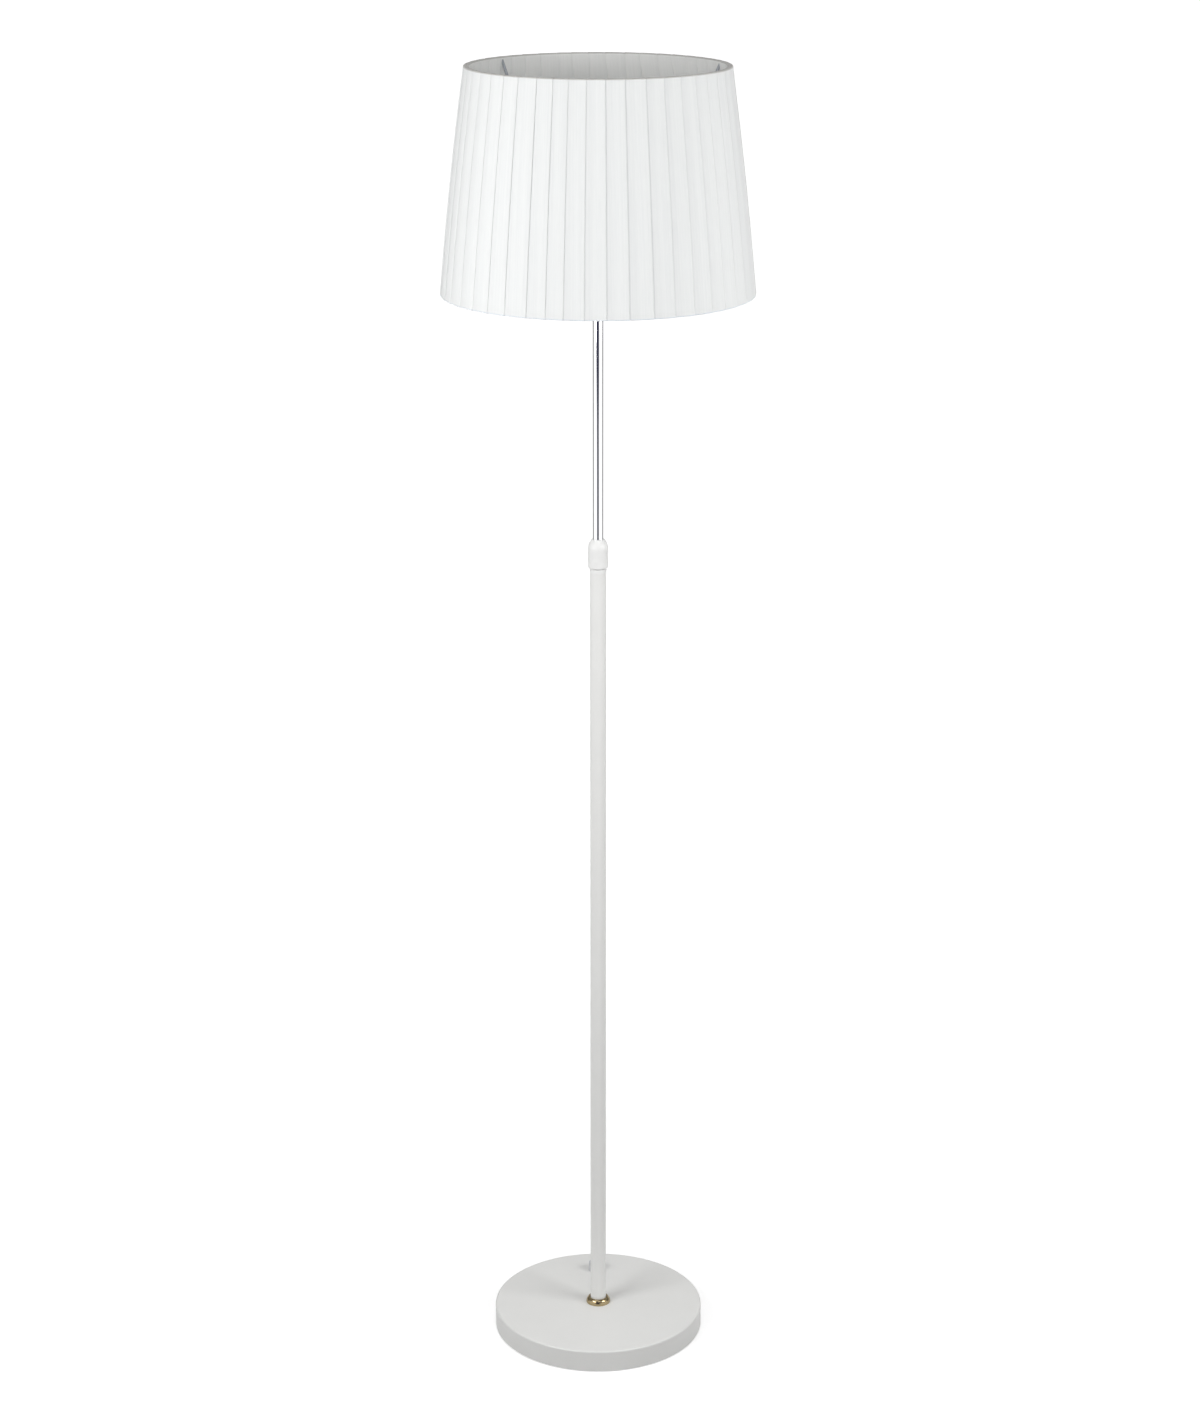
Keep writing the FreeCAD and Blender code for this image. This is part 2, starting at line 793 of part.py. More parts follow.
def shade_nut():
    """Ring nut that clamps the shade's fitter ring on the sleeve's shoulder."""
    bore = size.sleeve_thread_radius + size.running_gap
    return turned("shade_nut", [
        (bore, ZERO),
        (size.shade_nut_flange_radius, ZERO),
        (size.shade_nut_flange_radius, size.shade_nut_flange_height),
        (size.shade_nut_radius, size.shade_nut_flange_height),
        (size.shade_nut_radius, size.shade_nut_height),
        (bore, size.shade_nut_height),
    ], shoulder_top + size.fitter_thickness)


def fitter_ring():
    """Flat ring held between the sleeve's shoulder and the shade nut, with the arms welded to its edge."""
    return tube("fitter_ring", size.fitter_radius, size.fitter_hole_radius, size.fitter_thickness, shoulder_top)


def arm_path(sketch, start_radius):
    """Centre line of one arm: level from the fitter ring, one bend, then steeply up to the top wire."""
    climb = size.carrier_drop.value
    run = top_wire_radius.value - size.arm_corner_radius.value
    slope = math.atan2(climb, run)
    setback = size.arm_bend_radius.value * math.tan(slope / 2)
    start = FreeCAD.Vector(start_radius.value, 0, 0)
    corner = FreeCAD.Vector(size.arm_corner_radius.value, 0, 0)
    bend_start = corner - SIDEWAYS * setback
    bend_end = corner + FreeCAD.Vector(math.cos(slope), math.sin(slope), 0) * setback
    end = FreeCAD.Vector(top_wire_radius.value, climb, 0)
    flat = sketch.addGeometry(Part.LineSegment(start, bend_start))
    bend = sketch.addGeometry(arc_between(bend_start, bend_end, size.arm_bend_radius.value, 1))
    rise = sketch.addGeometry(Part.LineSegment(bend_end, end))
    guide = sketch.addGeometry(Part.LineSegment(bend_end, corner), True)
    sketch.addConstraint(Sketcher.Constraint("Horizontal", flat))
    sketch.addConstraint(Sketcher.Constraint("Tangent", flat, 2, bend, 1))
    sketch.addConstraint(Sketcher.Constraint("Tangent", bend, 2, rise, 1))
    sketch.addConstraint(Sketcher.Constraint("Coincident", guide, 1, rise, 1))
    sketch.addConstraint(Sketcher.Constraint("Parallel", guide, rise))
    hold(sketch, "Radius", (bend,), size.arm_bend_radius)
    hold_point(sketch, flat, 1, start_radius, ZERO)
    hold_point(sketch, rise, 2, top_wire_radius, size.carrier_drop)
    hold_point(sketch, guide, 2, size.arm_corner_radius, ZERO)


def shade_arm(name, angle):
    """One bent wire arm from the fitter ring's edge to the top wire, its end hollowed to fit that wire."""
    start_radius = size.fitter_radius + size.running_gap
    body = new_body(name, arm_level)
    turn_body(body, angle)
    path = new_sketch(body, f"{name}_path", "XZ_Plane")
    arm_path(path, start_radius)
    wire = new_sketch(body, f"{name}_wire", "YZ_Plane")
    wire.setExpression("AttachmentOffset.Base.z", start_radius.formula)
    draw_circle(wire, size.wire_radius)
    document.recompute()
    arm = body.newObject("PartDesign::AdditivePipe", f"{name}_sweep")
    arm.Profile = wire
    arm.Spine = (path, ["Edge1", "Edge2", "Edge3"])
    document.recompute()
    section = new_sketch(body, f"{name}_saddle_section", "XZ_Plane")
    draw_circle(section, size.wire_radius + size.running_gap, top_wire_radius, size.carrier_drop)
    saddle = body.newObject("PartDesign::Groove", f"{name}_saddle")
    saddle.Profile = section
    saddle.ReferenceAxis = (section, ["V_Axis"])
    saddle.Angle = FULL_TURN
    return body


def shade_arms():
    """The three arms that carry the shade, evenly spaced."""
    count = int(size.arm_count.value)
    spacing = Size(FULL_TURN, str(FULL_TURN)) / size.arm_count
    arms = document.addObject("Part::Compound", "shade_arms")
    arms.Links = [shade_arm(f"arm_{number + 1}", size.arm_angle + spacing * number) for number in range(count)]
    arms.Label = "shade_arms"
    return arms


def wire_ring(name, radius, level):
    """A closed ring of round wire."""
    ring = document.addObject("Part::Torus", name)
    ring.Label = name
    ring.setExpression("Radius1", radius.formula)
    ring.setExpression("Radius2", size.wire_radius.formula)
    ring.setExpression("Placement.Base.z", level.formula)
    return ring


def edge_clearance():
    """What the folded binding takes off each end of the lining and the ribbon."""
    return size.binding_thickness + size.soft_gap


def shade_lining():
    """Thin plastic cone that the ribbon lies on, with its side slightly crowned."""
    trim = edge_clearance()
    height = size.shade_height - trim * 2
    outer_low = size.shade_bottom_radius - lining_offset
    outer_high = size.shade_top_radius - lining_offset
    inner_low = outer_low - size.lining_thickness
    inner_high = outer_high - size.lining_thickness
    lean = size.shade_bottom_radius - size.shade_top_radius
    chord_squared = height * height + lean * lean
    crown = (chord_squared / 4 + size.shade_bulge * size.shade_bulge) / (size.shade_bulge * 2)
    return turned("shade_lining", [
        (inner_low, ZERO),
        (outer_low, ZERO, crown, 1),
        (outer_high, height),
        (inner_high, height, crown, -1),
    ], shade_bottom + trim)


def pleated_section(radius, height):
    """Level outline of the overlapped ribbon: each strip rises to its far edge, then steps back."""
    strip = 2 * math.pi / int(size.pleat_count.value)
    start = math.radians(size.pleat_start_angle.value)
    low = radius - size.pleat_step.value
    points = []
    for number in range(int(size.pleat_count.value)):
        for angle, reach in ((start + number * strip, low), (start + (number + 1) * strip, radius)):
            points.append(FreeCAD.Vector(reach * math.cos(angle), reach * math.sin(angle), height))
    return Part.makePolygon(points + points[:1])


def inner_section(radius, height):
    """Level outline of the ribbon's inner side: two flat facets to each strip, all touching the radius."""
    corners = int(size.pleat_count.value) * 2
    start = math.radians(size.pleat_start_angle.value)
    reach = radius / math.cos(math.pi / corners)
    angles = [start + 2 * math.pi * number / corners for number in range(corners)]
    points = [FreeCAD.Vector(reach * math.cos(angle), reach * math.sin(angle), height) for angle in angles]
    return Part.makePolygon(points + points[:1])


def cover_profile(share):
    """Radius of the shade's outside at a share of its height: a straight side plus a low crown."""
    straight = size.shade_bottom_radius.value + share * (
        size.shade_top_radius.value - size.shade_bottom_radius.value)
    return straight + size.shade_bulge.value * 4 * share * (1 - share)


def ribbon_cover():
    """Ribbon wound round the shade in overlapping strips, as one pleated wall."""
    trim = edge_clearance().value
    height = size.shade_height.value
    bands = int(size.cover_bands.value)
    shares = [(trim + (height - 2 * trim) * number / bands) / height for number in range(bands + 1)]
    inset = size.pleat_step.value + size.ribbon_thickness.value
    outside = Part.makeLoft(
        [pleated_section(cover_profile(share), share * height) for share in shares], True, True)
    inside = Part.makeLoft(
        [inner_section(cover_profile(share) - inset, share * height) for share in shares], True, True)
    cover = document.addObject("Part::Feature", "ribbon_cover")
    cover.Label = "ribbon_cover"
    cover.Shape = outside.cut(inside)
    cover.setExpression("Placement.Base.z", shade_bottom.formula)
    return cover


def top_binding():
    """Folded edge over the top wire, its inner leg slit where each arm comes through."""
    thickness = size.binding_thickness
    outside = size.shade_top_radius - size.binding_inset
    inside = top_wire_radius - size.wire_radius - size.soft_gap - thickness
    roof = size.binding_depth - thickness
    body = turned("top_binding", [
        (inside, ZERO),
        (inside + thickness, ZERO),
        (inside + thickness, roof),
        (outside, roof),
        (outside, size.binding_depth),
        (inside, size.binding_depth),
    ], shade_top - size.binding_depth)
    turn_body(body, size.arm_angle)
    half = size.wire_radius + size.soft_gap
    sketch = new_sketch(body, "arm_slit_outline", "YZ_Plane")
    draw_outline(sketch, [(half * -1, ZERO), (half, ZERO), (half, roof), (half * -1, roof)])
    document.recompute()
    slit = body.newObject("PartDesign::Pocket", "arm_slit")
    slit.Profile = sketch
    slit.Type = "ThroughAll"
    slit.Reversed = True
    document.recompute()
    slits = body.newObject("PartDesign::PolarPattern", "arm_slits")
    slits.Originals = [slit]
    slits.Axis = (sketch, ["V_Axis"])
    slits.Angle = FULL_TURN
    slits.setExpression("Occurrences", size.arm_count.formula)
    body.Tip = slits
    return body


def bottom_binding():
    """Folded edge round the bottom wire."""
    thickness = size.binding_thickness
    outside = size.shade_bottom_radius - size.binding_inset
    inside = bottom_wire_radius - size.wire_radius - size.soft_gap - thickness
    return turned("bottom_binding", [
        (inside, ZERO),
        (outside, ZERO),
        (outside, thickness),
        (inside + thickness, thickness),
        (inside + thickness, size.binding_depth),
        (inside, size.binding_depth),
    ], shade_bottom)


def inner_ribbon():
    """The ribbon's return run inside the shade, drawn tight from the top wire's fold to the bottom one's."""
    thickness = size.binding_thickness
    leg_inset = size.wire_radius + size.soft_gap + thickness
    low = bottom_wire_radius - leg_inset
    high = top_wire_radius - leg_inset
    end_gap = size.binding_depth + size.soft_gap
    height = size.shade_height - end_gap * 2
    return turned("inner_ribbon", [
        (low, ZERO),
        (low + thickness, ZERO),
        (high + thickness, height),
        (high, height),
    ], shade_bottom + end_gap)


def switch_body():
    """Switch can under the cover's top, with a threaded neck through it."""
    bore = size.button_radius + size.running_gap
    cavity = size.switch_radius - size.switch_wall
    neck_top_level = size.switch_height + size.base_wall + size.switch_neck_height
    roof = size.switch_height - size.switch_wall
    body = turned("switch_body", [
        (ZERO, ZERO),
        (size.switch_radius, ZERO),
        (size.switch_radius, size.switch_height),
        (size.switch_neck_radius, size.switch_height),
        (size.switch_neck_radius, neck_top_level),
        (bore, neck_top_level),
        (bore, roof),
        (cavity, roof),
        (cavity, size.switch_wall),
        (ZERO, size.switch_wall),
    ], switch_bottom)
    stand_at_switch(body)
    return body


def switch_bezel():
    """Ring nut on the switch's neck, seated on the cover, with a lip over the neck."""
    bore = size.switch_neck_radius + size.running_gap
    shoulder = easing(size.bezel_radius - size.bezel_top_radius, size.bezel_height - size.bezel_side_height)
    body = turned("switch_bezel", [
        (bore, ZERO),
        (size.bezel_radius, ZERO),
        (size.bezel_radius, size.bezel_side_height, shoulder, 1),
        (size.bezel_top_radius, size.bezel_height),
        (size.bezel_mouth_radius, size.bezel_height),
        (size.bezel_mouth_radius, size.bezel_height - size.bezel_lip),
        (bore, size.bezel_height - size.bezel_lip),
    ], size.base_height)
    stand_at_switch(body)
    return body


def foot_button():
    """Domed push button, hollow for its spring, with a flange that holds it in the can."""
    top = size.switch_height + size.base_wall + size.button_rise - button_bottom
    dome = top - size.button_dome_height
    roof = button_roof - button_bottom
    dome_curve = easing(size.button_dome_height, size.button_radius)
    body = turned("foot_button", [
        (size.button_bore, ZERO),
        (size.button_flange_radius, ZERO),
        (size.button_flange_radius, size.button_flange_height),
        (size.button_radius, size.button_flange_height),
        (size.button_radius, dome, dome_curve, 1),
        (ZERO, top),
        (ZERO, roof),
        (size.button_bore, roof),
    ], switch_bottom + button_bottom)
    stand_at_switch(body)
    return body


def switch_spring():
    """Compression spring between the can's floor and the button's roof, its wire drawn with flat sides."""
    wire = size.spring_wire_radius.value
    length = button_roof.value - size.switch_wall.value - 2 * wire
    pitch = length / size.spring_turns.value
    helix = Part.makeHelix(pitch, length, size.spring_radius.value)
    start = FreeCAD.Vector(size.spring_radius.value, 0, 0)
    along = FreeCAD.Vector(0, 2 * math.pi * size.spring_radius.value, pitch)
    sides = int(size.spring_wire_sides.value)
    corners = [start + FreeCAD.Rotation(along, FULL_TURN * number / sides).multVec(SIDEWAYS * wire)
               for number in range(sides)]
    spring = document.addObject("Part::Feature", "switch_spring")
    spring.Label = "switch_spring"
    section = Part.makePolygon(corners + corners[:1])
    spring.Shape = Part.Wire(helix).makePipeShell([section], True, True)
    spring.setExpression("Placement.Base.z", (switch_bottom + size.switch_wall
                                              + size.spring_wire_radius).formula)
    stand_at_switch(spring)
    return spring


def switch_terminals():
    """Two flat blades under the switch can."""
    blades = []
    for side in (-1, 1):
        blade = document.addObject("Part::Box", "terminal_blade")
        blade.setExpression("Length", size.terminal_thickness.formula)
        blade.setExpression("Width", size.terminal_width.formula)
        blade.setExpression("Height", size.terminal_length.formula)
        blade.setExpression("Placement.Base.x", (size.terminal_spacing * side / 2
                                                 - size.terminal_thickness / 2).formula)
        blade.setExpression("Placement.Base.y", (size.terminal_width / -2).formula)
        blades.append(blade)
    pair = document.addObject("Part::Compound", "switch_terminals")
    pair.Links = blades
    pair.Label = "switch_terminals"
    pair.setExpression("Placement.Base.z", (switch_bottom - size.terminal_length).formula)
    stand_at_switch(pair)
    return pair


def cord_grommet():
    """Inlet bush in the cover's skirt: outer flange, neck through the wall, inner flange and a bore."""
    inner_face = size.base_wall + size.loose_gap
    depth = inner_face + size.grommet_inner_thickness
    body = document.addObject("PartDesign::Body", "cord_grommet")
    body.Label = "cord_grommet"
    sketch = new_sketch(body, "grommet_section", "XZ_Plane")
    outer = depth + size.grommet_flange_thickness
    draw_outline(sketch, [
        (size.cord_bore, ZERO),
        (size.grommet_inner_radius, ZERO),
        (size.grommet_inner_radius, size.grommet_inner_thickness),
        (size.grommet_neck_radius, size.grommet_inner_thickness),
        (size.grommet_neck_radius, depth),
        (size.grommet_flange_radius, depth),
        (size.grommet_flange_radius, outer),
        (size.cord_bore, outer),
    ])
    turning = body.newObject("PartDesign::Revolution", "grommet_turning")
    turning.Profile = sketch
    turning.ReferenceAxis = (sketch, ["V_Axis"])
    turning.Angle = FULL_TURN
    lay_radially(body, size.base_radius - depth, size.inlet_height)
    return body


def lay_radially(body, reach, level):
    """Lay a piece's own axis outwards along the switch's direction, its foot at the given reach."""
    lean = FreeCAD.Rotation(FreeCAD.Vector(0, 1, 0), 90)
    swing = FreeCAD.Rotation(VERTICAL, size.switch_angle.value)
    body.Placement = FreeCAD.Placement(FreeCAD.Vector(), swing.multiply(lean))
    body.setExpression("Placement.Base.x", reach.cosine_of(size.switch_angle).formula)
    body.setExpression("Placement.Base.y", reach.sine_of(size.switch_angle).formula)
    body.setExpression("Placement.Base.z", level.formula)


def cord_clamp():
    """Bridge over the cord just inside the inlet, screwed to the weight."""
    body = new_body("cord_clamp", weight_top)
    turn_body(body, size.switch_angle)
    half_length = size.clamp_length / 2
    half_width = size.clamp_width / 2
    sketch = new_sketch(body, "clamp_outline", "XY_Plane")
    low = size.clamp_distance - half_length
    high = size.clamp_distance + half_length
    draw_outline(sketch, [
        (low, half_width * -1),
        (high, half_width * -1),
        (high, half_width),
        (low, half_width),
    ])
    pad = body.newObject("PartDesign::Pad", "clamp_block")
    pad.Profile = sketch
    pad.setExpression("Length", size.clamp_height.formula)
    drill(body, "clamp_cord_hole", "YZ_Plane", [(size.cord_bore, ZERO, size.inlet_height - weight_top)])
    half = size.clamp_screw_spacing / 2
    hole = size.clamp_screw_radius + size.running_gap
    drill(body, "clamp_holes", "XY_Plane", [
        (hole, size.clamp_distance, half),
        (hole, size.clamp_distance, half * -1),
    ])
    return body


def clamp_screws():
    """Two screws down through the clamp into the weight."""
    length = size.clamp_height + size.clamp_screw_depth
    screws = screw_pair("clamp_screws", size.clamp_screw_spacing, size.clamp_screw_radius, length,
                        size.clamp_head_radius, size.clamp_head_height, ZERO)
    over = FreeCAD.Rotation(SIDEWAYS, 180)
    swing = FreeCAD.Rotation(VERTICAL, size.switch_angle.value + 90)
    screws.Placement = FreeCAD.Placement(FreeCAD.Vector(), swing.multiply(over))
    screws.setExpression("Placement.Base.x", size.clamp_distance.cosine_of(size.switch_angle).formula)
    screws.setExpression("Placement.Base.y", size.clamp_distance.sine_of(size.switch_angle).formula)
    screws.setExpression("Placement.Base.z", (weight_top + size.clamp_height).formula)
    return screws


def all_pieces():
    """Every separate piece of the lamp, from the floor up."""
    pieces = [base_pad(), base_weight(), base_cover(), base_spacer(), foot_ring()]
    pieces += clamping_set()
    pieces += [switch_body(), switch_bezel(), foot_button(), switch_spring(), switch_terminals()]
    pieces += [cord_grommet(), cord_clamp(), clamp_screws()]
    pieces += [pole_tube("lower_tube", size.lower_tube_length, tube_foot)]
    pieces += [pole_tube("upper_tube", size.upper_tube_length, seam)]
    pieces += pole_inserts()
    pieces += [seam_spigot(), top_bush(), collet(), lock_collar()]
    pieces += mast()
    pieces += holder_fixing()
    pieces += [holder_cap(), holder_core(), terminal_screws(), screw_shell(), centre_contact()]
    pieces += [holder_sleeve(), shade_nut(), fitter_ring(), shade_arms()]
    pieces += [wire_ring("top_ring", top_wire_radius, top_wire_level)]
    pieces += [wire_ring("bottom_ring", bottom_wire_radius, bottom_wire_level)]
    pieces += [shade_lining(), ribbon_cover(), inner_ribbon(), top_binding(), bottom_binding()]
    return pieces


pieces = all_pieces()
document.recompute()

for item in document.Objects:
    if "Invalid" in item.State or "Error" in item.State:
        raise RuntimeError(f"{item.Label} failed: {item.State}")
for piece in pieces:
    if piece.Shape.isNull() or not piece.Shape.isValid() or not piece.Shape.Solids:
        raise RuntimeError(f"{piece.Label} has no valid solid")

os.makedirs("parts", exist_ok=True)
for piece in pieces:
    piece.Shape.exportStep(f"parts/{piece.Label}.step")
    box = piece.Shape.BoundBox
    print(f"{piece.Label:18s} {len(piece.Shape.Solids)} solid  z {box.ZMin:8.2f} to {box.ZMax:8.2f}")
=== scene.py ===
import math

import bpy
import numpy as np
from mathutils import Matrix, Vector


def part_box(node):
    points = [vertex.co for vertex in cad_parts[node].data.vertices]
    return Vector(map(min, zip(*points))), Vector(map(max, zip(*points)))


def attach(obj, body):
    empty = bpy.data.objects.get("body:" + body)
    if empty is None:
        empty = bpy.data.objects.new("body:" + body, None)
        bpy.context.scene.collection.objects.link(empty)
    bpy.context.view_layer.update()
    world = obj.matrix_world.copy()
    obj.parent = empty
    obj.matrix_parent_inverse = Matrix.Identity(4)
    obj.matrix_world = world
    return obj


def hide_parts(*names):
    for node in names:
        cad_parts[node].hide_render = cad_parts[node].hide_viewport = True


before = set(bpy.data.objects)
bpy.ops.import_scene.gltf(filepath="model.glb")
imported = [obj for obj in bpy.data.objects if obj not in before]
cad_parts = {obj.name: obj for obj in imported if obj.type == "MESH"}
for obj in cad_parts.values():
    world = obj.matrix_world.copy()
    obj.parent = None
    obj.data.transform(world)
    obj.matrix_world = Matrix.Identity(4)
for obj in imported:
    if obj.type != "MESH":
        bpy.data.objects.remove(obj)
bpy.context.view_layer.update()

# Foot pad. A ring of dark foam rubber, die-cut from sheet and glued under the cast weight.
# Its cut face shows fine open pores.


def effect_group(name, inputs, outputs):
    """An empty shader group with its named inputs (name, kind, value) and outputs (name, kind)."""
    group = bpy.data.node_groups.new(name, "ShaderNodeTree")
    for label, kind, value in inputs:
        group.interface.new_socket(name=label, in_out="INPUT", socket_type=kind).default_value = value
    for label, kind in outputs:
        group.interface.new_socket(name=label, in_out="OUTPUT", socket_type=kind)
    return group, group.nodes.new("NodeGroupInput"), group.nodes.new("NodeGroupOutput")


def add_node(tree, kind, settings=None, **inputs):
    """A node of the kind with its settings made and its inputs set or linked, by name or by number."""
    node = tree.nodes.new(kind)
    for label, value in (settings or {}).items():
        setattr(node, label, value)
    for label, value in inputs.items():
        socket = node.inputs[int(label[1:])] if label[0] == "_" else node.inputs[label.replace("_", " ")]
        if isinstance(value, bpy.types.NodeSocket):
            tree.links.new(value, socket)
        else:
            socket.default_value = value
    return node


def maths(tree, operation, first, second=0.0):
    """The result of one Math node."""
    return add_node(tree, "ShaderNodeMath", {"operation": operation}, _0=first, _1=second).outputs[0]


FLOAT, VECTOR = "NodeSocketFloat", "NodeSocketVector"
TONE_AND_NORMAL = [("Tone", FLOAT), ("Normal", VECTOR)]


def grain_group():
    """Even grain: a fine noise in the piece's own space gives the relief, and the tone is that noise
    averaged with a slow drift of a twentieth of its scale."""
    group, given, made = effect_group("grain", [("Scale", FLOAT, 800.0), ("Depth", FLOAT, 0.0001)],
                                      TONE_AND_NORMAL)
    place = add_node(group, "ShaderNodeTexCoord").outputs["Object"]
    fine = add_node(group, "ShaderNodeTexNoise", Vector=place, Scale=given.outputs["Scale"], Detail=3.0,
                    Roughness=0.6).outputs["Fac"]
    slow_scale = maths(group, "MULTIPLY", given.outputs["Scale"], 0.05)
    slow = add_node(group, "ShaderNodeTexNoise", Vector=place, Scale=slow_scale, Detail=2.0).outputs["Fac"]
    tone = maths(group, "MULTIPLY", maths(group, "ADD", fine, slow), 0.5)
    bump = add_node(group, "ShaderNodeBump", Height=fine, Distance=given.outputs["Depth"], Strength=1.0)
    group.links.new(tone, made.inputs["Tone"])
    group.links.new(bump.outputs["Normal"], made.inputs["Normal"])
    return group


def finish(name, dark, light, roughness, effect, values, **plain):
    """A material whose colour runs from dark to light, and whose roughness runs over its pair, with the
    effect's tone. The effect's normal gives the relief. Plain values go on the shader's own sockets."""
    material = bpy.data.materials.new(name)
    material.use_nodes = True
    tree = material.node_tree
    shader = tree.nodes["Principled BSDF"]
    worked = add_node(tree, "ShaderNodeGroup", {"node_tree": effect}, **values)
    tone = worked.outputs["Tone"]
    colour = add_node(tree, "ShaderNodeMix", {"data_type": "RGBA"}, _0=tone, _6=(*dark, 1), _7=(*light, 1))
    rough = add_node(tree, "ShaderNodeMapRange", Value=tone, To_Min=roughness[0], To_Max=roughness[1])
    tree.links.new(colour.outputs[2], shader.inputs["Base Color"])
    tree.links.new(rough.outputs["Result"], shader.inputs["Roughness"])
    tree.links.new(worked.outputs["Normal"], shader.inputs["Normal"])
    for label, value in plain.items():
        shader.inputs[label.replace("_", " ")].default_value = value
    return material


def coat(material, *nodes):
    """Give the material to CAD nodes."""
    for node in nodes:
        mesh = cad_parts[node].data
        mesh.materials.clear()
        mesh.materials.append(material)


grain = grain_group()
coat(finish("foam_rubber", (0.05, 0.05, 0.05), (0.12, 0.12, 0.12), (0.85, 1.0), grain,
            {"Scale": 1400.0, "Depth": 0.0006}), "base_pad")

# Base weight. A disc of grey iron, cast in sand and dipped in dark paint; it stays hidden in the cover.
# The sand leaves a coarse skin.

coat(finish("cast_iron", (0.09, 0.09, 0.095), (0.2, 0.2, 0.205), (0.55, 0.85), grain,
            {"Scale": 420.0, "Depth": 0.0012}, Metallic=0.4), "base_weight")

# Base cover. A dish pressed from thin steel sheet, with a rounded edge, powder-coated satin white.
# The powder flows out to a very slight orange peel.

coat(finish("powder_coat", (0.81, 0.81, 0.793), (0.87, 0.87, 0.853), (0.42, 0.52), grain,
            {"Scale": 620.0, "Depth": 0.00004}, Coat_Weight=0.08, Coat_Roughness=0.25),
     "base_cover", "lower_tube", "upper_tube")

# Foot ring. Turned from brass bar, polished and lacquered; it hides the hole that the pole stands in.
# The tool leaves fine rings round its axis.


def turned_group():
    """Tool marks round an upright axis through Centre: noise over the distance from the axis and the
    height, both stretched by Lines, so that it doesn't change round the piece."""
    group, given, made = effect_group("turned", [("Centre", VECTOR, (0, 0, 0)), ("Lines", FLOAT, 4000.0),
                                                 ("Depth", FLOAT, 0.00001)], TONE_AND_NORMAL)
    place = add_node(group, "ShaderNodeTexCoord").outputs["Object"]
    local = add_node(group, "ShaderNodeVectorMath", {"operation": "SUBTRACT"}, _0=place,
                     _1=given.outputs["Centre"]).outputs[0]
    parts = add_node(group, "ShaderNodeSeparateXYZ", Vector=local).outputs
    square = maths(group, "ADD", maths(group, "MULTIPLY", parts["X"], parts["X"]),
                   maths(group, "MULTIPLY", parts["Y"], parts["Y"]))
    reach = maths(group, "SQRT", square)
    lines = given.outputs["Lines"]
    along = add_node(group, "ShaderNodeCombineXYZ", X=maths(group, "MULTIPLY", reach, lines),
                     Y=maths(group, "MULTIPLY", parts["Z"], lines)).outputs[0]
    marks = add_node(group, "ShaderNodeTexNoise", Vector=along, Scale=1.0, Detail=3.0).outputs["Fac"]
    bump = add_node(group, "ShaderNodeBump", Height=marks, Distance=given.outputs["Depth"], Strength=1.0)
    group.links.new(marks, made.inputs["Tone"])
    group.links.new(bump.outputs["Normal"], made.inputs["Normal"])
    return group


turned = turned_group()
coat(finish("polished_brass", (0.34, 0.26, 0.14), (0.58, 0.47, 0.28), (0.16, 0.3), turned,
            {"Lines": 3500.0, "Depth": 0.00001}, Metallic=1.0), "foot_ring")

# Rod, nuts, washers and plugs. Turned and pressed steel, barrel-plated with bright zinc.
# They hold the base, the pole's two lengths, the mast's ends and the lampholder together.

coat(finish("zinc_plate", (0.50, 0.51, 0.53), (0.70, 0.71, 0.73), (0.28, 0.45), turned,
            {"Lines": 2500.0, "Depth": 0.00001}, Metallic=1.0),
     "base_spacer", "tie_rod", "tie_washer", "tie_nut", "foot_insert", "seam_socket", "seam_spigot",
     "stop_ring", "mast_plug", "holder_washer", "head_nipple", "nipple_nut", "clamp_screws")

# Foot switch. A dark moulded can under the cover, its grey button and ring nut standing through it.
# A steel spring lifts the button, and two brass blades below take the lead. The ring nut has grip grooves.

MM_PER_METRE = 1000
SHARP_EDGE = math.radians(35)
GROOVE_FADE = 0.6


def grid_mesh(name, points, wrap_rows=False, wrap_columns=False, flat_places=None):
    """A mesh of quads over a grid of points, joined end to end where it wraps. The flat places, one pair
    for each point, become its UV map."""
    rows, columns = points.shape[:2]
    row = np.arange(rows if wrap_rows else rows - 1)[:, None]
    column = np.arange(columns if wrap_columns else columns - 1)[None, :]
    next_row, next_column = (row + 1) % rows, (column + 1) % columns
    corners = np.stack([row * columns + column, row * columns + next_column,
                        next_row * columns + next_column, next_row * columns + column], axis=-1)
    corners = corners.reshape(-1)
    mesh = bpy.data.meshes.new(name)
    mesh.vertices.add(rows * columns)
    mesh.vertices.foreach_set("co", points.reshape(-1).astype(np.float32))
    mesh.loops.add(len(corners))
    mesh.loops.foreach_set("vertex_index", corners.astype(np.int32))
    mesh.polygons.add(len(corners) // 4)
    mesh.polygons.foreach_set("loop_start", np.arange(0, len(corners), 4, dtype=np.int32))
    mesh.update(calc_edges=True)
    if flat_places is not None:
        layer = mesh.uv_layers.new(name="UVMap")
        layer.data.foreach_set("uv", flat_places.reshape(-1, 2)[corners].reshape(-1).astype(np.float32))
    mesh.polygons.foreach_set("use_smooth", np.ones(len(mesh.polygons), dtype=bool))
    mesh.validate()
    return mesh


def new_piece(name, mesh, material, body):
    """A new object of the mesh at the origin, with its material, riding on the body."""
    piece = bpy.data.objects.new(name, mesh)
    bpy.context.scene.collection.objects.link(piece)
    mesh.materials.append(material)
    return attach(piece, body)


def quarter(start, end, steps=6):
    """A quarter of an ellipse from start, where it runs upright, to end, where it runs level."""
    angle = np.linspace(0, math.pi / 2, steps)
    return [(end[0] + (start[0] - end[0]) * math.cos(a), start[1] + (end[1] - start[1]) * math.sin(a))
            for a in angle]


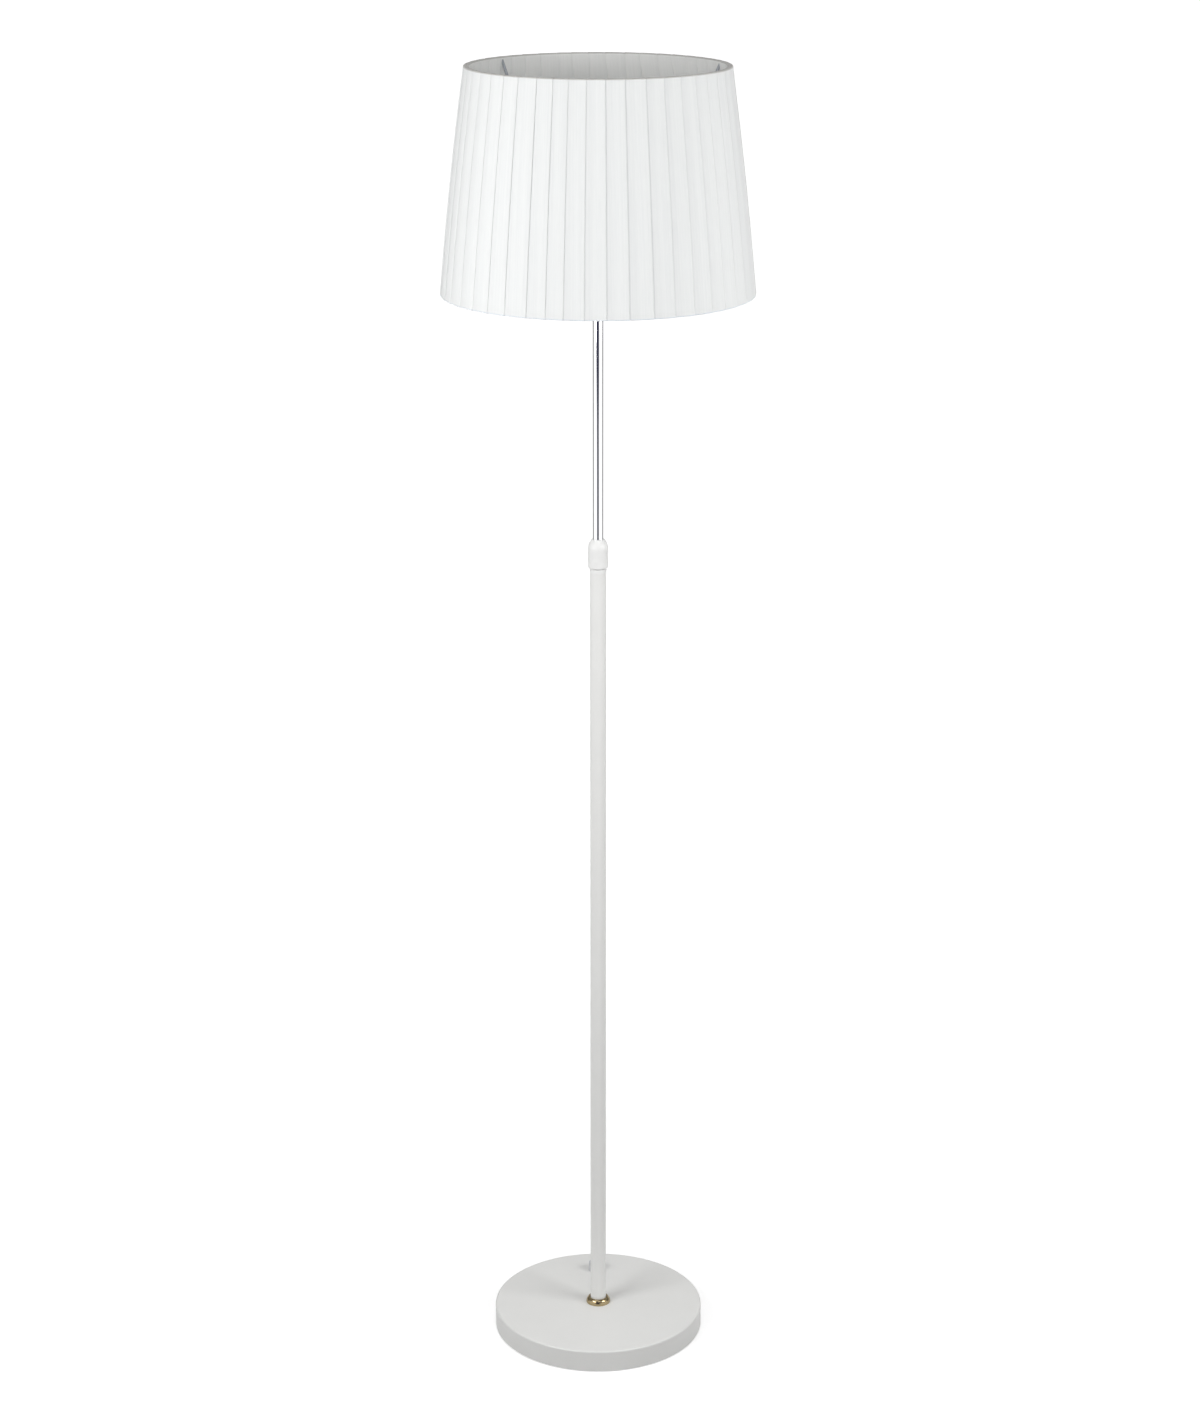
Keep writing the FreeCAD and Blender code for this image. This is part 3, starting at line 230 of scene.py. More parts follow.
def turned_skin(name, profile, foot, around, relief=None):
    """A closed profile of (radius, height) in millimetres, going up on its outer side, carried round an
    upright axis through the foot point. The relief, a function of angle, radius and height, gives each
    point's radius. Edges sharper than 35 degrees stay sharp."""
    angle = np.linspace(0, 2 * math.pi, around, endpoint=False)[None, :]
    radius, height = [np.array(column)[:, None] for column in zip(*profile)]
    radius, height = radius + 0 * angle, height + 0 * angle
    if relief:
        radius = relief(angle, radius, height)
    points = np.stack([foot[0] + radius * np.cos(angle) / MM_PER_METRE,
                       foot[1] + radius * np.sin(angle) / MM_PER_METRE,
                       foot[2] + height / MM_PER_METRE], axis=-1)
    mesh = grid_mesh(name, points, wrap_rows=True, wrap_columns=True)
    mesh.set_sharp_from_angle(angle=SHARP_EDGE)
    return mesh


def foot_of(node):
    """The middle of a node's underside."""
    low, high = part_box(node)
    return (low[0] + high[0]) / 2, (low[1] + high[1]) / 2, low[2]


def grip(count, depth, inner, low, high):
    """Rounded grooves up the outer side: the radius shrinks by the depth times the square of a cosine of
    the angle, outside the inner radius, and fades over 0.6 mm at the low and high ends."""
    def relief(angle, radius, height):
        fade = np.clip(np.minimum(height - low, high - height) / GROOVE_FADE, 0, 1)
        return radius - depth * fade * (radius > inner) * np.cos(angle * count / 2) ** 2
    return relief


coat(finish("dark_moulding", (0.03, 0.03, 0.032), (0.055, 0.055, 0.057), (0.45, 0.6), grain,
            {"Scale": 1800.0, "Depth": 0.00003}), "switch_body", "cord_clamp", "holder_core")
grey_moulding = finish("grey_moulding", (0.58, 0.59, 0.61), (0.64, 0.65, 0.67), (0.36, 0.48), grain,
                       {"Scale": 1500.0, "Depth": 0.00002})
coat(grey_moulding, "foot_button")
ring_nut = new_piece("switch_ring_nut", turned_skin("switch_ring_nut", [
    (8.05, 0), (9.6, 0), (9.8, 0.3), (9.8, 1.0), (9.8, 5.0), (9.8, 10.0), *quarter((9.8, 10.4), (7.9, 13.0)),
    (7.3, 13.0), (7.1, 12.8), (7.1, 12.1), (8.05, 12.1)], foot_of("switch_bezel"), 168,
    grip(24, 0.55, 9.0, 0.8, 11.6)), grey_moulding, "stand")
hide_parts("switch_bezel")
coat(finish("spring_wire", (0.32, 0.32, 0.34), (0.5, 0.5, 0.52), (0.25, 0.4), grain,
            {"Scale": 2600.0, "Depth": 0.00001}, Metallic=1.0), "switch_spring", "foot_clip")
contact_brass = finish("contact_brass", (0.58, 0.42, 0.18), (0.78, 0.6, 0.32), (0.25, 0.42), turned,
                       {"Lines": 2600.0, "Depth": 0.00001}, Metallic=1.0)
coat(contact_brass, "switch_terminals", "terminal_screws", "centre_contact")

# Twist collar, pole bush and cord grommet. Moulded in white plastic, satin from the mould. The bush has
# its stem in the pole's top, the collar screws on to its neck, and the grommet sits in the cover's wall.

coat(finish("white_moulding", (0.84, 0.84, 0.83), (0.88, 0.88, 0.87), (0.34, 0.44), grain,
            {"Scale": 1500.0, "Depth": 0.00002}), "cord_grommet", "top_bush", "lock_collar")

# Collet and mast guide. Nylon, moulded in its natural milky colour, that runs dry on the tube.
# The collet sits in the bush, where the collar squeezes it; the guide runs in the pole at the mast's foot.

coat(finish("nylon", (0.80, 0.78, 0.70), (0.85, 0.83, 0.76), (0.38, 0.5), grain,
            {"Scale": 1200.0, "Depth": 0.00002}), "collet", "guide_bush")

# Mast. Thin steel tube, polished and chromium-plated, that slides in the pole.
# Polishing along the tube leaves very faint hairlines.


def drawn_group():
    """Hairlines along an upright tube: noise over the direction round the axis plus 0.12 of the height in
    metres, stretched together by Lines."""
    group, given, made = effect_group("drawn", [("Lines", FLOAT, 60.0), ("Depth", FLOAT, 0.000001)],
                                      TONE_AND_NORMAL)
    place = add_node(group, "ShaderNodeTexCoord").outputs["Object"]
    flat = add_node(group, "ShaderNodeVectorMath", {"operation": "MULTIPLY"}, _0=place,
                    _1=(1, 1, 0)).outputs[0]
    facing = add_node(group, "ShaderNodeVectorMath", {"operation": "NORMALIZE"}, _0=flat).outputs[0]
    height = add_node(group, "ShaderNodeVectorMath", {"operation": "MULTIPLY"}, _0=place,
                      _1=(0, 0, 0.12)).outputs[0]
    way = add_node(group, "ShaderNodeVectorMath", {"operation": "ADD"}, _0=facing, _1=height).outputs[0]
    marks = add_node(group, "ShaderNodeTexNoise", Vector=way, Scale=given.outputs["Lines"],
                     Detail=3.0).outputs["Fac"]
    bump = add_node(group, "ShaderNodeBump", Height=marks, Distance=given.outputs["Depth"], Strength=1.0)
    group.links.new(marks, made.inputs["Tone"])
    group.links.new(bump.outputs["Normal"], made.inputs["Normal"])
    return group


drawn = drawn_group()
coat(finish("chrome", (0.86, 0.87, 0.88), (0.93, 0.93, 0.94), (0.03, 0.07), drawn,
            {"Lines": 60.0, "Depth": 0.000001}, Metallic=1.0), "inner_tube")

# Lampholder. Cap, sleeve and shade nut are moulded in glossy white plastic and screw together; the
# sleeve has an outside thread and the nut grip grooves. The shell for the lamp's cap is thin brass, and
# its round thread is rolled into it.


def thread(pitch, depth, low, high, bore, outside):
    """A round thread: every wall between the bore and the outside moves out by the depth times half of one
    plus the cosine of the way up in pitches less the way round in turns, fading in half a pitch."""
    def relief(angle, radius, height):
        fade = np.clip(np.minimum(height - low, high - height) / (pitch / 2), 0, 1)
        wave = 0.5 + 0.5 * np.cos(2 * math.pi * height / pitch - angle)
        return radius + depth * fade * wave * ((radius >= bore) & (radius <= outside))
    return relief


def rise(radius, low, high, steps):
    """Points straight up, or down, at one radius."""
    return [(radius, float(height)) for height in np.linspace(low, high, steps)]


holder_moulding = finish("holder_moulding", (0.86, 0.86, 0.84), (0.90, 0.90, 0.88), (0.16, 0.26), grain,
                         {"Scale": 500.0, "Depth": 0.00001})
coat(holder_moulding, "holder_cap")
lamp_shell = new_piece("lamp_shell", turned_skin("lamp_shell", [
    (4.5, 0), (12.0, 0), (12.3, 0.3), (12.3, 5.0), *rise(13.4, 5.6, 27.4, 67), (13.7, 28.0), (13.4, 28.0),
    *rise(13.1, 27.4, 5.8, 67), (11.5, 5.4), (11.5, 0.8), (4.5, 0.8)], foot_of("screw_shell"), 72,
    thread(3.63, 0.5, 6.4, 27.0, 13.05, 13.45)), contact_brass, "head")
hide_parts("screw_shell")
sleeve_skin = new_piece("threaded_sleeve", turned_skin("threaded_sleeve", [
    (15.9, 0), (17.95, 0), (17.95, 3.0), (19.6, 3.0), (20.0, 3.4), (20.0, 15.0), (22.1, 15.0), (22.5, 15.4),
    (22.5, 17.6), (22.1, 18.0), *rise(19.0, 18.0, 34.4, 80), (18.6, 35.0), (16.4, 35.0), (15.9, 34.5)],
    foot_of("holder_sleeve"), 72, thread(2.2, 0.4, 18.3, 34.2, 18.95, 19.05)), holder_moulding, "head")
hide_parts("holder_sleeve")
grip_nut = new_piece("grip_nut", turned_skin("grip_nut", [
    (19.45, 0), (24.2, 0), (24.5, 0.3), (24.5, 1.6), (24.1, 2.0), (22.0, 2.05), (22.0, 2.7), (22.0, 5.0),
    (22.0, 7.8), *quarter((22.0, 8.4), (21.3, 9.0), 4), (19.9, 9.0), (19.45, 8.6)], foot_of("shade_nut"), 210,
    grip(30, 0.8, 21.9, 2.1, 8.5)), holder_moulding, "head")
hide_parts("shade_nut")

# Shade frame. Fitter ring, three arms and two rings of steel wire, welded and then zinc-plated.
# The plating is bright and a little dull, and on the real frame uneven where the welds were; the grain here
# is even all over.

coat(finish("plated_wire", (0.38, 0.40, 0.44), (0.58, 0.60, 0.64), (0.25, 0.45), grain,
            {"Scale": 300.0, "Depth": 0.00003}, Metallic=1.0),
     "fitter_ring", "shade_arms", "top_ring", "bottom_ring")

# Shade lining. A cone of thin white plastic sheet between the ribbon's outer and inner runs.
# The ribbon is wound tight over it and holds it in place.

coat(finish("lining_sheet", (0.80, 0.80, 0.79), (0.84, 0.84, 0.83), (0.45, 0.6), drawn,
            {"Lines": 40.0, "Depth": 0.00002}), "shade_lining")

# Ribbon. One long sheer white ribbon, wound tight over both wire rings in 46 overlapping turns.
# Each turn lies over the left edge of the next, so its own right edge stands proud; the thin line of shade it
# throws is also painted into the ribbon's colour.

TURNS = 46
TURN_ANGLE = 2 * math.pi / TURNS
FIRST_EDGE = math.radians(-93.4)
RIBBON_WIDTH = 0.030
RIBBON_THICKNESS = 0.00025
SHADE_LOW, SHADE_TOP = 1.42415, 1.70345
RADIUS_LOW, RADIUS_TOP, CROWN = 0.1967, 0.1642, 0.0018
INNER_LOW, INNER_TOP = 0.18945, 0.15695
LAP = 0.00032
BELLY = 0.0008
BELLY_FOLDED = 0.00008
ACROSS = np.array([-1.0, -0.5, 0.0, 0.06, 0.18, 0.34, 0.5, 0.66, 0.82, 0.94, 1.0])
CORNER_POWER = 0.6
FOLD_SHARE = 0.0065
BELLY_EASE = 0.012
OUTER_STEPS, FOLD_STEPS, INNER_STEPS = 30, 9, 14
EDGE_STRAY = 0.085
THREAD_STRETCH, STREAK_STRETCH = (2600, 40, 0), (420, 3, 0)


def half_round(start_radius, end_radius, level, lift):
    """Half a flattened oval from one radius to the other, its square corners eased: each coordinate is
    the circle's, to the power 0.6, keeping its sign."""
    angle = np.linspace(0, math.pi, FOLD_STEPS + 2)[1:-1]
    across, up = np.cos(angle), np.sin(angle)
    middle, half = (start_radius + end_radius) / 2, (start_radius - end_radius) / 2
    return np.stack([middle + half * np.sign(across) * np.abs(across) ** CORNER_POWER,
                     level + lift * np.abs(up) ** CORNER_POWER], axis=1)


def ribbon_turn():
    """One turn's line in (radius, height): up the shade's crowned outside, over the top wire, straight
    down inside and under the bottom wire. With it come the share of the inner run done and the ribbon's
    belly, the rise of its middle over its edges, which eases from the outside's to the folds' in 12 mm."""
    share = np.linspace(FOLD_SHARE, 1 - FOLD_SHARE, OUTER_STEPS)
    height = SHADE_LOW + (SHADE_TOP - SHADE_LOW) * share
    outer = np.stack([RADIUS_LOW + (RADIUS_TOP - RADIUS_LOW) * share + CROWN * 4 * share * (1 - share),
                      height], axis=1)
    top = half_round(outer[-1, 0], INNER_TOP, outer[-1, 1], SHADE_TOP - outer[-1, 1])
    down = np.linspace(0, 1, INNER_STEPS)
    inner = np.stack([INNER_TOP + (INNER_LOW - INNER_TOP) * down,
                      outer[-1, 1] + (outer[0, 1] - outer[-1, 1]) * down], axis=1)
    low = half_round(INNER_LOW, outer[0, 0], outer[0, 1], SHADE_LOW - outer[0, 1])
    line = np.concatenate([outer, top, inner, low])
    done = np.concatenate([np.zeros(len(outer) + len(top)), down, np.ones(len(low))])
    from_end = np.minimum(height - height[0], height[-1] - height) / BELLY_EASE
    ease = np.clip(from_end, 0, 1) ** 2 * (3 - 2 * np.clip(from_end, 0, 1))
    belly = np.full(len(line), BELLY_FOLDED)
    belly[:len(outer)] += (BELLY - BELLY_FOLDED) * ease
    return line, done, belly


def edge_wander():
    """How far each visible edge strays from even spacing, in turns, as hand winding does: by chance, with
    a spread of a twelfth. The edges at the front stray as they do on the real shade."""
    wander = np.random.default_rng(7).normal(0, EDGE_STRAY, TURNS)
    wander[-4:] = (0.0, 0.14, 0.06, -0.11)
    wander[:10] = (-0.17, -0.17, -0.14, -0.01, 0.03, 0.08, 0.13, 0.04, 0.04, 0.09)
    return wander


def wound_ribbon():
    """Points on a grid, turn by turn along the ribbon and edge to edge across it. Each turn starts one
    place further round, clockwise, and moves on along its inner run. Round the lamp, a point's angle runs
    from the turn's left visible edge to its right one, and on under its neighbour by what is left of the
    ribbon's width. Along the line's own normal it sinks by the lap, in proportion to the way across, and
    by the belly times the square of its distance from the middle."""
    line, done, belly = ribbon_turn()
    per_turn = len(line)
    ahead, behind = np.roll(line, -1, axis=0), np.roll(line, 1, axis=0)
    way = ahead - behind
    normal = np.stack([way[:, 1], -way[:, 0]], axis=1) / np.linalg.norm(way, axis=1)[:, None]
    place = np.repeat(np.arange(TURNS)[::-1], per_turn) - np.tile(done, TURNS)
    line, normal = np.tile(line, (TURNS, 1)), np.tile(normal, (TURNS, 1))
    belly = np.tile(belly, TURNS)[:, None]
    wander = edge_wander()

    def edge(position):
        whole = np.floor(position).astype(int)
        part = position - whole
        stray = wander[whole % TURNS] * (1 - part) + wander[(whole + 1) % TURNS] * part
        return FIRST_EDGE + TURN_ANGLE * (position + stray)

    left, right = edge(place), edge(place + 1)
    hidden = RIBBON_WIDTH / line[:, 0] - TURN_ANGLE
    across = ACROSS[None, :]
    angle = np.where(across < 0, left[:, None] + across * hidden[:, None],
                     left[:, None] + across * (right - left)[:, None])
    shown = np.clip(across, 0, 1)
    sink = LAP * (1 - shown) + belly * (2 * shown - 1) ** 2
    radius = line[:, 0:1] - normal[:, 0:1] * sink
    height = line[:, 1:2] - normal[:, 1:2] * sink
    points = np.stack([radius * np.cos(angle), radius * np.sin(angle), height + 0 * angle], axis=-1)
    length = np.concatenate([[0], np.cumsum(np.linalg.norm(np.diff(line, axis=0), axis=1))])
    breadth = (np.where(across < 0, across * hidden[:, None], across * TURN_ANGLE)
               + hidden[:, None]) * line[:, 0:1]
    flat = np.stack([breadth, np.repeat(length[:, None], len(ACROSS), axis=1)], axis=-1)
    turn = np.round(place + np.tile(done, TURNS)).astype(int) % TURNS
    return points, flat, np.repeat(turn[:, None], len(ACROSS), axis=1)


def inner_share(points):
    """0 on the shade's outside and 1 on its inside: the point's distance inwards from the shade's
    straight outer cone, over the ribbon's and lining's depth together."""
    radius = np.hypot(points[..., 0], points[..., 1])
    share = (points[..., 2] - SHADE_LOW) / (SHADE_TOP - SHADE_LOW)
    inwards = RADIUS_LOW + (RADIUS_TOP - RADIUS_LOW) * share - radius
    return np.clip(inwards / (RADIUS_LOW - INNER_LOW), 0, 1)


def turn_tones():
    """How dense each turn is, from 0 to 1, as the winder's tension changes from turn to turn, and how
    dark the painted shade is that its proud edge throws on the next turn. The turns at the front keep the
    look that the real shade has there."""
    chance = np.random.default_rng(11)
    dense = chance.uniform(0.35, 0.75, TURNS)
    # How strong each turn's painted edge shade is.
    edge = chance.uniform(0.15, 0.5, TURNS)
    dense[:3] = (0.12, 0.45, 0.6)
    edge[-6:] = (0.3, 0.4, 0.5, 0.55, 0.6, 0.8)
    edge[:6] = (1.0, 1.0, 1.0, 0.75, 0.6, 0.5)
    return dense, edge


def ribbon_finish():
    """Sheer woven ribbon: fine warp threads along it, from noise stretched far across and little along,
    averaged with broader streaks. The tone is half the streaks and half the turn's density. The inner run
    is painted lighter than the outer run, to make up for the light that reaches inside the shade. Where
    the ribbon comes out from under its neighbour it is a single layer, and it lies in the shade of the
    neighbour's proud edge, which is painted: a thin dark line, by the square of the turn's edge shade,
    and a soft painted shadow over six tenths of what shows, by the root of that value, both weaker on
    the inner run. Its folds over the wires carry painted light: a grey painted shade on top, and a
    cold-white painted reflection below."""
    material = bpy.data.materials.new("sheer_ribbon")
    material.use_nodes = True
    tree = material.node_tree
    shader = tree.nodes["Principled BSDF"]

    def kept(name):
        return add_node(tree, "ShaderNodeAttribute", {"attribute_name": name}).outputs["Fac"]

    def blend(share, first, second):
        first, second = [(*tint, 1) if isinstance(tint, tuple) else tint for tint in (first, second)]
        return add_node(tree, "ShaderNodeMix", {"data_type": "RGBA"}, _0=share, _6=first,
                        _7=second).outputs[2]

    def ramp(value, start, end, first, last):
        return add_node(tree, "ShaderNodeMapRange", {"interpolation_type": "SMOOTHSTEP"}, Value=value,
                        From_Min=start, From_Max=end, To_Min=first, To_Max=last).outputs["Result"]

    place = add_node(tree, "ShaderNodeUVMap", {"uv_map": "UVMap"}).outputs["UV"]
    fine_place = add_node(tree, "ShaderNodeVectorMath", {"operation": "MULTIPLY"}, _0=place,
                          _1=THREAD_STRETCH).outputs[0]
    broad_place = add_node(tree, "ShaderNodeVectorMath", {"operation": "MULTIPLY"}, _0=place,
                           _1=STREAK_STRETCH).outputs[0]
    fine = add_node(tree, "ShaderNodeTexNoise", Vector=fine_place, Scale=1.0, Detail=2.0).outputs["Fac"]
    broad = add_node(tree, "ShaderNodeTexNoise", Vector=broad_place, Scale=1.0, Detail=2.0).outputs["Fac"]
    streaks = ramp(maths(tree, "MULTIPLY", maths(tree, "ADD", fine, broad), 0.5), 0.3, 0.7, 0.0, 1.0)
    tone = maths(tree, "ADD", maths(tree, "MULTIPLY", streaks, 0.5),
                 maths(tree, "MULTIPLY", kept("density"), 0.5))
    outside = blend(tone, (0.765, 0.778, 0.778), (0.865, 0.873, 0.862))
    # Painted light: the inner run is coloured lighter than the outer run of the same ribbon, to make up for
    # the light that reaches inside the shade.
    inside = blend(tone, (0.83, 0.835, 0.82), (0.93, 0.93, 0.915))
    cloth = blend(kept("inner_side"), outside, inside)
    across = kept("way_across")
    edge = kept("edge_shade")
    # Painted shade: a thin dark line and a soft painted shadow where each turn comes out from under its
    # neighbour's proud edge, weaker on the inner run.
    line = maths(tree, "MULTIPLY", ramp(across, 0.0, 0.07, 0.5, 0.0), maths(tree, "MULTIPLY", edge, edge))
    shadow = maths(tree, "MULTIPLY", ramp(across, 0.0, 0.6, 0.19, 0.0), maths(tree, "SQRT", edge))
    dark = maths(tree, "ADD", line, shadow)
    outer = maths(tree, "SUBTRACT", 1.0, maths(tree, "MULTIPLY", kept("inner_side"), 0.7))
    cloth = blend(maths(tree, "MULTIPLY", dark, outer), cloth, (0.50, 0.51, 0.52))
    height = add_node(tree, "ShaderNodeSeparateXYZ",
                      Vector=add_node(tree, "ShaderNodeTexCoord").outputs["Object"]).outputs["Z"]
    # Painted shade: a grey band along the top fold over the wire.
    cloth = blend(ramp(height, SHADE_TOP - 0.0022, SHADE_TOP - 0.0008, 0.0, 1.0), cloth, (0.52, 0.51, 0.49))
    # Painted reflection: a cold-white band along the bottom fold under the wire.
    cloth = blend(ramp(height, SHADE_LOW + 0.0006, SHADE_LOW + 0.003, 0.7, 0.0), cloth, (0.78, 0.85, 0.92))
    bump = add_node(tree, "ShaderNodeBump", Height=fine, Distance=0.0001, Strength=0.6)
    tree.links.new(cloth, shader.inputs["Base Color"])
    tree.links.new(bump.outputs["Normal"], shader.inputs["Normal"])
    shader.inputs["Roughness"].default_value = 0.75
    shader.inputs["Sheen Weight"].default_value = 0.15
    return material


def keep_values(mesh, name, values):
    """Store one number for each vertex of a mesh under a name that its material reads."""
    layer = mesh.attributes.new(name, "FLOAT", "POINT")
    layer.data.foreach_set("value", values.reshape(-1).astype(np.float32))


ribbon_points, ribbon_flat, ribbon_order = wound_ribbon()
ribbon_mesh = grid_mesh("ribbon", ribbon_points, wrap_rows=True, flat_places=ribbon_flat)
turn_density, turn_edge_shade = turn_tones()
keep_values(ribbon_mesh, "inner_side", inner_share(ribbon_points))
keep_values(ribbon_mesh, "density", turn_density[ribbon_order])
# The painted shade that each turn's proud edge throws on the next turn.
keep_values(ribbon_mesh, "edge_shade", turn_edge_shade[(ribbon_order - 1) % TURNS])
keep_values(ribbon_mesh, "way_across", np.broadcast_to(np.clip(ACROSS, 0, 1), ribbon_order.shape))
ribbon = new_piece("ribbon", ribbon_mesh, ribbon_finish(), "head")
body = ribbon.modifiers.new("cloth_thickness", "SOLIDIFY")
body.thickness = RIBBON_THICKNESS
body.offset = -1
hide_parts("ribbon_cover", "inner_ribbon", "top_binding", "bottom_binding")

# Studio. A pale floor that runs out to white, soft light from both sides, the front and above, and cards
# that only the polished metal shows. The camera looks down on the lamp from a little above the shade.

FLOOR_SIDES = 96
FLOOR_GAP = 0.0002
CARD_DISTANCE = 2.5
CARD_RADIUS = 2.6
CAMERA_TILT = 17.36

floor_angle = np.linspace(0, 2 * math.pi, FLOOR_SIDES, endpoint=False)[None, :]
floor_reach = np.array([0.001, 0.2, 0.5, 1.0, 2.0, 5.0, 14.0, 40.0])[:, None]
floor_points = np.stack([floor_reach * np.cos(floor_angle), floor_reach * np.sin(floor_angle),
                         np.full((len(floor_reach), FLOOR_SIDES), -FLOOR_GAP)], axis=-1)
floor = bpy.data.objects.new("floor", grid_mesh("floor", floor_points[:, ::-1], wrap_columns=True))
bpy.context.scene.collection.objects.link(floor)
paper = bpy.data.materials.new("floor_paper")
paper.use_nodes = True
paper_tree = paper.node_tree
paper_shader = paper_tree.nodes["Principled BSDF"]
paper_shader.inputs["Roughness"].default_value = 0.9
seen = add_node(paper_tree, "ShaderNodeLightPath").outputs
looked_at = maths(paper_tree, "MAXIMUM", seen["Is Camera Ray"],
                  maths(paper_tree, "MAXIMUM", seen["Is Glossy Ray"], seen["Is Transmission Ray"]))
shade_of_paper = add_node(paper_tree, "ShaderNodeMix", {"data_type": "RGBA"}, _0=looked_at,
                          _6=(0.36, 0.36, 0.36, 1), _7=(0.82, 0.82, 0.82, 1))
paper_tree.links.new(shade_of_paper.outputs[2], paper_shader.inputs["Base Color"])
away = add_node(paper_tree, "ShaderNodeVectorMath", {"operation": "LENGTH"},
                _0=add_node(paper_tree, "ShaderNodeTexCoord").outputs["Object"]).outputs["Value"]
glow_level = add_node(paper_tree, "ShaderNodeMapRange", {"interpolation_type": "SMOOTHSTEP"}, Value=away,
                      From_Min=0.45, From_Max=1.8, To_Min=0.44, To_Max=0.8).outputs["Result"]
glow = add_node(paper_tree, "ShaderNodeEmission", Color=(1, 1, 1, 1),
                Strength=maths(paper_tree, "MULTIPLY", looked_at, glow_level))
both = add_node(paper_tree, "ShaderNodeAddShader", _0=paper_shader.outputs[0], _1=glow.outputs[0])
paper_tree.links.new(both.outputs[0], paper_tree.nodes["Material Output"].inputs["Surface"])
floor.data.materials.append(paper)

world = bpy.data.worlds.new("studio")
bpy.context.scene.world = world
world.use_nodes = True
sky = world.node_tree
sky.nodes.clear()
rays = add_node(sky, "ShaderNodeLightPath").outputs
looks = maths(sky, "MAXIMUM", rays["Is Camera Ray"], rays["Is Transmission Ray"])
toward = add_node(sky, "ShaderNodeSeparateXYZ",
                  Vector=add_node(sky, "ShaderNodeTexCoord").outputs["Generated"]).outputs
level = maths(sky, "SQRT", maths(sky, "ADD", maths(sky, "MULTIPLY", toward["X"], toward["X"]),
                                 maths(sky, "MULTIPLY", toward["Y"], toward["Y"])))
front = maths(sky, "DIVIDE", maths(sky, "MULTIPLY", toward["Y"], -1.0), maths(sky, "MAXIMUM", level, 0.001))
grey_back = add_node(sky, "ShaderNodeMapRange", {"interpolation_type": "SMOOTHSTEP"}, Value=front,
                     From_Min=-0.35, From_Max=0.0, To_Min=0.6, To_Max=1.0).outputs["Result"]
dim_ceiling = add_node(sky, "ShaderNodeMapRange", {"interpolation_type": "SMOOTHSTEP"}, Value=toward["Z"],
                       From_Min=0.15, From_Max=0.45, To_Min=1.0, To_Max=0.22).outputs["Result"]
mirrored = add_node(sky, "ShaderNodeBackground", Color=(1, 1, 1, 1),
                    Strength=maths(sky, "MULTIPLY", grey_back, dim_ceiling))
ambient = add_node(sky, "ShaderNodeBackground", Color=(1.0, 1.0, 1.0, 1), Strength=0.4)
white = add_node(sky, "ShaderNodeBackground", Color=(1, 1, 1, 1), Strength=1.0)
unseen = add_node(sky, "ShaderNodeMixShader", _0=rays["Is Glossy Ray"], _1=ambient.outputs[0],
                  _2=mirrored.outputs[0])
final = add_node(sky, "ShaderNodeMixShader", _0=looks, _1=unseen.outputs[0], _2=white.outputs[0])
sky.links.new(final.outputs[0], add_node(sky, "ShaderNodeOutputWorld").inputs["Surface"])


def softbox(name, place, aim, side, power):
    """A square soft lamp at a place, turned to its aim."""
    lamp = bpy.data.lights.new(name, "AREA")
    lamp.size = side
    lamp.energy = power
    holder = bpy.data.objects.new(name, lamp)
    bpy.context.scene.collection.objects.link(holder)
    holder.location = place
    direction = Vector(aim) - Vector(place)
    holder.rotation_euler = direction.to_track_quat("-Z", "Y").to_euler()
    holder.visible_camera = False


softbox("left_softbox", (-1.25, -1.05, 1.5), (0, 0, 1.3), 0.9, 17.5)
softbox("right_softbox", (1.45, -0.75, 1.5), (0, 0, 1.3), 0.9, 15.5)
softbox("front_softbox", (0.3, -1.75, 2.4), (0, 0, 1.6), 0.8, 5.0)
softbox("top_softbox", (-0.6, -0.7, 3.2), (0, 0, 0), 1.4, 6.0)


